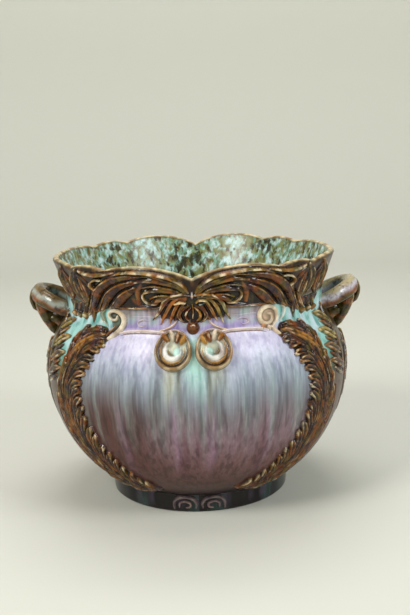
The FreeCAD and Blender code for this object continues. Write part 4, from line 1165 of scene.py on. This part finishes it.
garland.carve(
    ([(36.4, 165.6), (41, 161.8), (46, 155.8), (50, 149), (52.4, 142)], [1, 3, 3.4, 2.8, 0.9],
     [3, 5.2, 5.8, 5, 3.2], (166, 114, 46), 4, 0.4),
    ([(35.2, 162.8), (38.4, 159.4), (42.6, 153.6), (45.6, 147)], [0.9, 2.4, 2.4, 0.9], [2.8, 5, 5, 3],
     (86, 46, 36), 4, 0.5),
    ([(38, 166.6), (43, 163.4), (48, 158.4), (52, 151.4)], [0.8, 2.2, 2.4, 0.8], [2.4, 4.4, 4.4, 2.4],
     (156, 108, 88), 4, 0.5),
)
for start, tone in ((0, (104, 56, 25)), (1, (78, 40, 18))):
    garland.stroke([(62.5 - start * 1.6, 108), (61.6 - 2 * start, 88), (58.2 - 2.4 * start, 66),
                    (53 - 2.4 * start, 48), (46.5 - 2 * start, 36)], [1.2, 2.6, 2.6, 2.2, 1],
                   [1.6, 2.6, 2.6, 2.2, 1.2], tone, groove=0.2)
press("garland", garland, "relief_glaze", edge=0.9)

# %% [markdown]
# Outside the garland, leaf tips of a spray beside the handle point forward over the turquoise shoulder,
# and a long leaf runs down the pot's side under each handle, with pairs of dished lobes that branch from
# its middle rib.

# %% Side sprays and side leaves
spray = Clay((53.5, 74), (111, 179), 0.45)
spray.plate([(71.5, 176), (65, 171), (65.6, 156), (65, 143), (66, 130), (67, 118), (72.5, 118)], 0.9,
            (44, 26, 13))
for a, z, tone in ((59.5, 172, (150, 132, 62)), (57.6, 158.4, (176, 158, 84)),
                   (57.4, 145.6, (128, 98, 42)), (59, 132, (96, 56, 22))):
    spray.stroke([(a + 13, z - 13), (a + 8.4, z - 8), (a + 3.8, z - 2.4), (a, z)], [1.6, 3.8, 3.8, 1.2],
                 [3, 4.8, 5, 3], tone, round_by=4, dish=0.6)
    spray.stroke([(a + 11.4, z - 18), (a + 6.8, z - 12.6), (a + 2.6, z - 7.6)], [1.0, 2.6, 1.0],
                 [2.6, 4, 2.4], (70, 40, 18), round_by=4, dish=0.5)
spray.stroke([(70.5, 177), (69.6, 160), (69.2, 145), (69.6, 131), (71, 115)], [1.4, 3.0, 3.0, 2.8, 1.2],
             [2.8, 3.8, 4, 3.6, 2.2], (92, 78, 50), round_by=3, dish=0.3)
press("side_spray", spray, "relief_glaze")

side = Clay((75, 105), (24, 147), 0.6)
side.plate([(90, 145), (97, 142.5), (101.5, 130), (102.5, 110), (100, 82), (95.5, 52), (90, 28.5),
            (84.5, 52), (80, 82), (77.5, 110), (78.5, 130), (83, 142.5)], 1.4, (60, 32, 13), bevel=2.5)
for i in range(7):
    z = 137 - 15 * i
    reach = 11.4 - 1.2 * i
    for way in (-1, 1):
        side.stroke([(90 + way * 0.6, z - 15), (90 + way * 0.5 * reach, z - 6),
                     (90 + way * reach, z + 2)], [1.2, 4.6 - 0.3 * i, 1.4], [2.6, 4.2, 3.2],
                    ((96, 54, 20), (112, 70, 26))[i % 2], round_by=4, dish=0.55)
side.stroke([(90, 144), (90, 110), (90, 70), (90, 32)], [1.4, 2.4, 2.0, 0.9], [3.4, 4.6, 4.2, 2.4],
            (104, 60, 24))
press("side_leaf", side, "relief_glaze", TWO_ENDS, soften=0.5)

# %% [markdown]
# On the foot a pair of small arched scrolls meets in the middle of the front and of the back, each an
# arch with a curl inside it.

# %% Foot scrolls
foot_tile = Clay((0.3, 17.5), (0.4, 17.6), 0.36)
foot_tile.stroke([(15.6, 3.5), (15.4, 9), (12.6, 13.8), (8.4, 15), (4, 13.2), (1.8, 8.6), (2.2, 4.4)],
                 [1.2, 1.9, 2.1, 2.1, 2.0, 1.6, 1.0], [2, 2.8, 3.2, 3.2, 3, 2.6, 1.8], (100, 86, 92))
foot_tile.stroke([(12.4, 4.6), (12, 8.4), (9, 10.6), (5.6, 8.6), (5.8, 5.2), (8.4, 4.2)],
                 [0.8, 1.3, 1.4, 1.3, 1.2, 0.7], [1.6, 2.4, 2.6, 2.4, 2.2, 1.6], (116, 98, 100))
press("foot_scroll", foot_tile, "foot_glaze", soften=0.4, ground=foot_colour, edge=0.12, stain=0,
      pool=0.6)

# %% [markdown]
# Each handle is an ear: a strap that leaves the collar, bends round and comes back, tilted up and
# outward. Where it is outermost a leaf folds over it and hangs down, a bracket carries the leaf's back to
# the shoulder, and a short seat for a finger joins both to the wall. All four are swept: a section with
# fine flutes is carried along a path, and each end is closed.

# %% Sweeping a strap
def sweep(path, across, half_width, half_thick, rib=0.0, turns=28):
    """Points and faces of a closed strap along a path, wide along `across` and fluted on both faces."""
    path, across = np.asarray(path, float), np.asarray(across, float)
    ahead = np.gradient(path, axis=0)
    ahead /= np.linalg.norm(ahead, axis=1)[:, None]
    across = across - ahead * np.sum(across * ahead, 1)[:, None]
    across /= np.linalg.norm(across, axis=1)[:, None]
    normal = np.cross(ahead, across)
    angle = np.linspace(0, 2 * math.pi, turns, endpoint=False)
    wide = np.sign(np.cos(angle)) * np.abs(np.cos(angle)) ** 0.8
    flute = np.cos(2.5 * math.pi * wide) * np.abs(np.sin(angle))
    thick = np.sin(angle) * (1 + rib * 0.5 * flute)
    points = (path[:, None, :] + across[:, None, :] * (half_width[:, None] * wide)[..., None]
              + normal[:, None, :] * (half_thick[:, None] * thick)[..., None])
    rows = len(path)
    faces = ring_faces(rows, turns)
    start, end = rows * turns, rows * turns + 1
    faces += [(start, (i + 1) % turns, i) for i in range(turns)]
    last = (rows - 1) * turns
    faces += [(end, last + i, last + (i + 1) % turns) for i in range(turns)]
    points = np.concatenate([points.reshape(-1, 3), path[:1], path[-1:]])
    stands = np.concatenate([np.tile(flute, rows), [0, 0]])
    return points, faces, stands


print("sweep ready")

# %% Handles
LOOP_TILT = math.radians(24)
LOOP_BEND = 25.0
LEG = 9.5
STRAP_HALF, STRAP_CROWN = 6.5, 7.5
LOOP_REACH, LOOP_RISE = BELLY_R + 13.0, NECK_Z + 15.0
bend_x = LOOP_REACH - (STRAP_HALF + LOOP_BEND) * math.cos(LOOP_TILT)
bend_z = LOOP_RISE - STRAP_CROWN * math.cos(LOOP_TILT) - (STRAP_HALF + LOOP_BEND) * math.sin(LOOP_TILT)


def tilted(flat):
    """Points of the handle's own plane, forward and sideways, tilted up and outward."""
    forward, sideways = np.asarray(flat).T
    return np.stack([forward * math.cos(LOOP_TILT), sideways, forward * math.sin(LOOP_TILT)], 1)


legs = np.linspace(-LEG, 0, 7)[:-1]
bend = np.radians(np.linspace(-90, 90, 61))
flat_path = [(forward, -LOOP_BEND) for forward in legs]
flat_path += [(LOOP_BEND * math.cos(turn), LOOP_BEND * math.sin(turn)) for turn in bend]
flat_path += [(forward, LOOP_BEND) for forward in legs[::-1]]
loop_path = tilted(flat_path) + (bend_x, 0, bend_z)
loop_across = tilted(np.gradient(np.array(flat_path), axis=0)[:, ::-1] * (1, -1))
along = np.linspace(-1, 1, len(loop_path))
loop_wide = STRAP_HALF + 0.4 - 0.6 * np.abs(along)
loop_thick = STRAP_CROWN + 0.7 - 1.2 * np.abs(along) ** 2
loop_points, loop_faces, loop_stands = sweep(loop_path, loop_across, loop_wide, loop_thick, rib=0.06,
                                             turns=44)


def leaf_part(path, wide, thick, rib, turns):
    """A strap in the handle's middle plane. Wide and thick list half sizes by the share along it."""
    line, _ = smooth_line(path, 1.0)
    shares = np.linspace(0, 1, len(line))
    half_wide, half_thick = (np.interp(shares, *zip(*stops)) for stops in (wide, thick))
    across = np.tile((0.0, 1.0, 0.0), (len(line), 1))
    return sweep(np.insert(line, 1, 0.0, axis=1), across, half_wide, half_thick, rib, turns)


leaf_fold = leaf_part(
    [(144, 193.4), (148.4, 190.8), (150.4, 186), (150.4, 180.6), (148.8, 175.4), (146.4, 171),
     (144.4, 168.4)],
    [(0, 4), (0.2, 9), (0.5, 11), (0.8, 8.5), (1, 3)],
    [(0, 0.8), (0.2, 1.8), (0.5, 2.8), (0.8, 2.8), (1, 0.8)], rib=0.8, turns=60)
bracket = leaf_part(
    [(141.5, 186), (140.6, 178), (137.4, 169), (133.4, 160.5), (129.8, 152.5), (127.4, 147)],
    [(0, 16), (0.25, 19), (0.55, 16.5), (0.85, 11), (1, 6)],
    [(0, 6.5), (0.3, 7.4), (0.6, 7.4), (0.85, 6), (1, 3)], rib=0.5, turns=72)
finger_seat = leaf_part(
    [(122.5, 160), (126, 163), (130.5, 164.6), (137, 164)],
    [(0, 18), (1, 15)], [(0, 6.4), (1, 6)], rib=0.3, turns=48)
leaf_points = np.zeros((0, 3))
leaf_faces, leaf_stands = [], []
for points, faces, stands in (leaf_fold, bracket, finger_seat):
    leaf_faces += [tuple(corner + len(leaf_points) for corner in face) for face in faces]
    leaf_points = np.concatenate([leaf_points, points])
    leaf_stands = np.concatenate([leaf_stands, stands])
HANDLE_BROWN, HANDLE_OLIVE, HANDLE_DARK = light(96, 60, 24), light(78, 70, 34), light(26, 17, 8)
HANDLE_GOLD, HANDLE_RUST = light(176, 146, 86), light(150, 86, 40)
# Painted light on each strap: a crown colour as painted top light, a white run as a painted highlight
# band, and its share; the right strap is painted paler.
STRAP_TOP_HIGHLIGHTS = {
    "right": (light(206, 190, 146), light(222, 218, 230), 0.75),
    "left": (light(128, 104, 66), light(206, 222, 214), 0.5),
}


def handle_paint(points, stands):
    """Brown and olive with dark flutes and gold ribs."""
    patch = blotches(points[:, 2] * 1.2 + points[:, 0] * 0.4, points[:, 1], 61, 14)
    small = blotches(points[:, 2] + points[:, 0] * 0.5, points[:, 1] * 1.2, 62, 6)
    colour = blend(HANDLE_BROWN, HANDLE_OLIVE, ease(patch, -0.5, 0.8))
    colour = blend(colour, HANDLE_RUST, 0.7 * ease(-patch, 0.2, 1.4))
    colour = blend(colour, HANDLE_DARK, 0.9 * (1 - ease(stands, -0.4, 0.2)))
    colour = blend(colour, HANDLE_DARK, 0.7 * ease(small, 0.4, 1.4))
    return blend(colour, HANDLE_GOLD, 0.75 * ease(stands, 0.3, 0.7) * ease(small, -0.6, 0.8))


def strap_paint(points, stands, place):
    """The strap's colour with painted light: a pale crown as painted top light, a thin white run below
    that as a painted highlight, brown under it.
    """
    lift = (points[:, 2] - bend_z) * math.cos(LOOP_TILT) - (points[:, 0] - bend_x) * math.sin(LOOP_TILT)
    lift = lift + 0.8 * blotches(points[:, 0], points[:, 1], 63, 22)
    crown, run, highlight_share = STRAP_TOP_HIGHLIGHTS[place]
    colour = handle_paint(points, 0.5 * stands)
    colour = blend(colour, HANDLE_RUST, 0.5 * ease(lift, -5, -2) * (1 - ease(lift, -1, 1)))
    # The white run is a painted highlight band, and the crown above it is painted pale as top light.
    colour = blend(colour, run, highlight_share * ease(lift, -3, 1.5) * (1 - ease(lift, 2.5, 6)))
    return blend(colour, crown, 0.85 * ease(lift, 1.5, 6.5))


for place, way in (("right", (1, 1, 1)), ("left", (-1, 1, 1))):
    for name, points, faces, paint in (
        ("loop", loop_points, loop_faces, strap_paint(loop_points, loop_stands, place)),
        ("leaf", leaf_points, leaf_faces, handle_paint(leaf_points, leaf_stands)),
    ):
        moved, turned_faces = mirrored(points, faces, way)
        add_piece(f"handle_{name}_{place}", moved, turned_faces, {"glaze": paint}, "relief_glaze")
print("handle reach", round(loop_points[:, 0].max(), 1), "rise", round(loop_points[:, 2].max(), 1), "mm")

# %% [markdown]
# The set is a plain pale floor that turns up into a wall all round, by a wide cove, so that no edge shows
# from any side. A large window-like lamp stands at the upper left, a weaker one at the right, one hangs
# above, and one lights the wall behind. Big lamps matter on glaze, because every highlight is a picture
# of a lamp.

# %% Floor, lamps and sky
FLOOR_R, COVE_R, WALL_TOP, STEPS = 2.1, 0.6, 2.6, 72
COVE_STEPS = 10
cove = [(0.6, 0.0), (1.2, 0.0), (FLOOR_R - COVE_R, 0.0)]
for step in range(1, COVE_STEPS + 1):
    angle = math.radians(90 / COVE_STEPS * step)
    cove.append((FLOOR_R - COVE_R + COVE_R * math.sin(angle), COVE_R * (1 - math.cos(angle))))
cove.append((FLOOR_R, WALL_TOP))
angles = [2 * math.pi * step / STEPS for step in range(STEPS)]
floor_points = [(0.0, 0.0, 0.0)]
floor_points += [(radius * math.cos(a), radius * math.sin(a), z) for radius, z in cove for a in angles]
floor_faces = [(0, 1 + i, 1 + (i + 1) % STEPS) for i in range(STEPS)]
floor_faces += [tuple(1 + corner for corner in reversed(face)) for face in ring_faces(len(cove), STEPS)]
floor_mesh = bpy.data.meshes.new("floor")
floor_mesh.from_pydata(floor_points, [], floor_faces)
floor_mesh.polygons.foreach_set("use_smooth", [True] * len(floor_mesh.polygons))
floor_object = bpy.data.objects.new("floor", floor_mesh)
bpy.context.scene.collection.objects.link(floor_object)
floor_material = bpy.data.materials.new("pale_floor")
floor_material.use_nodes = True
floor_shader = floor_material.node_tree.nodes["Principled BSDF"]
floor_shader.inputs["Base Color"].default_value = rgba(206, 206, 196)
floor_shader.inputs["Roughness"].default_value = 0.7
floor_mesh.materials.append(floor_material)
POT_MIDDLE = (0, 0, 0.12)


def lamp(name, place, size, power, colour=(1, 1, 1), towards=POT_MIDDLE):
    """A square area lamp that looks at a point."""
    data = bpy.data.lights.new(name, "AREA")
    data.size = size
    data.energy = power
    data.color = colour
    thing = bpy.data.objects.new(name, data)
    bpy.context.scene.collection.objects.link(thing)
    thing.location = place
    thing.rotation_euler = (Vector(towards) - Vector(place)).to_track_quat("-Z", "Y").to_euler()


lamp("window", (-1.0, -1.0, 1.25), 0.6, 21, (1.0, 0.98, 0.95))
lamp("fill", (1.15, -0.85, 1.05), 0.6, 14, (0.95, 0.98, 1.0))
lamp("above", (0.0, 0.2, 1.6), 1.0, 8)
lamp("backdrop", (0.0, 0.7, 1.9), 1.0, 14, towards=(0, 2.1, 0.4))
world = bpy.data.worlds.new("sky")
bpy.context.scene.world = world
world.use_nodes = True
sky = world.node_tree.nodes["Background"].inputs
sky["Color"].default_value = rgba(236, 238, 240)
sky["Strength"].default_value = 0.2
bpy.context.scene.view_settings.view_transform = "Standard"
print("lamps and sky ready")
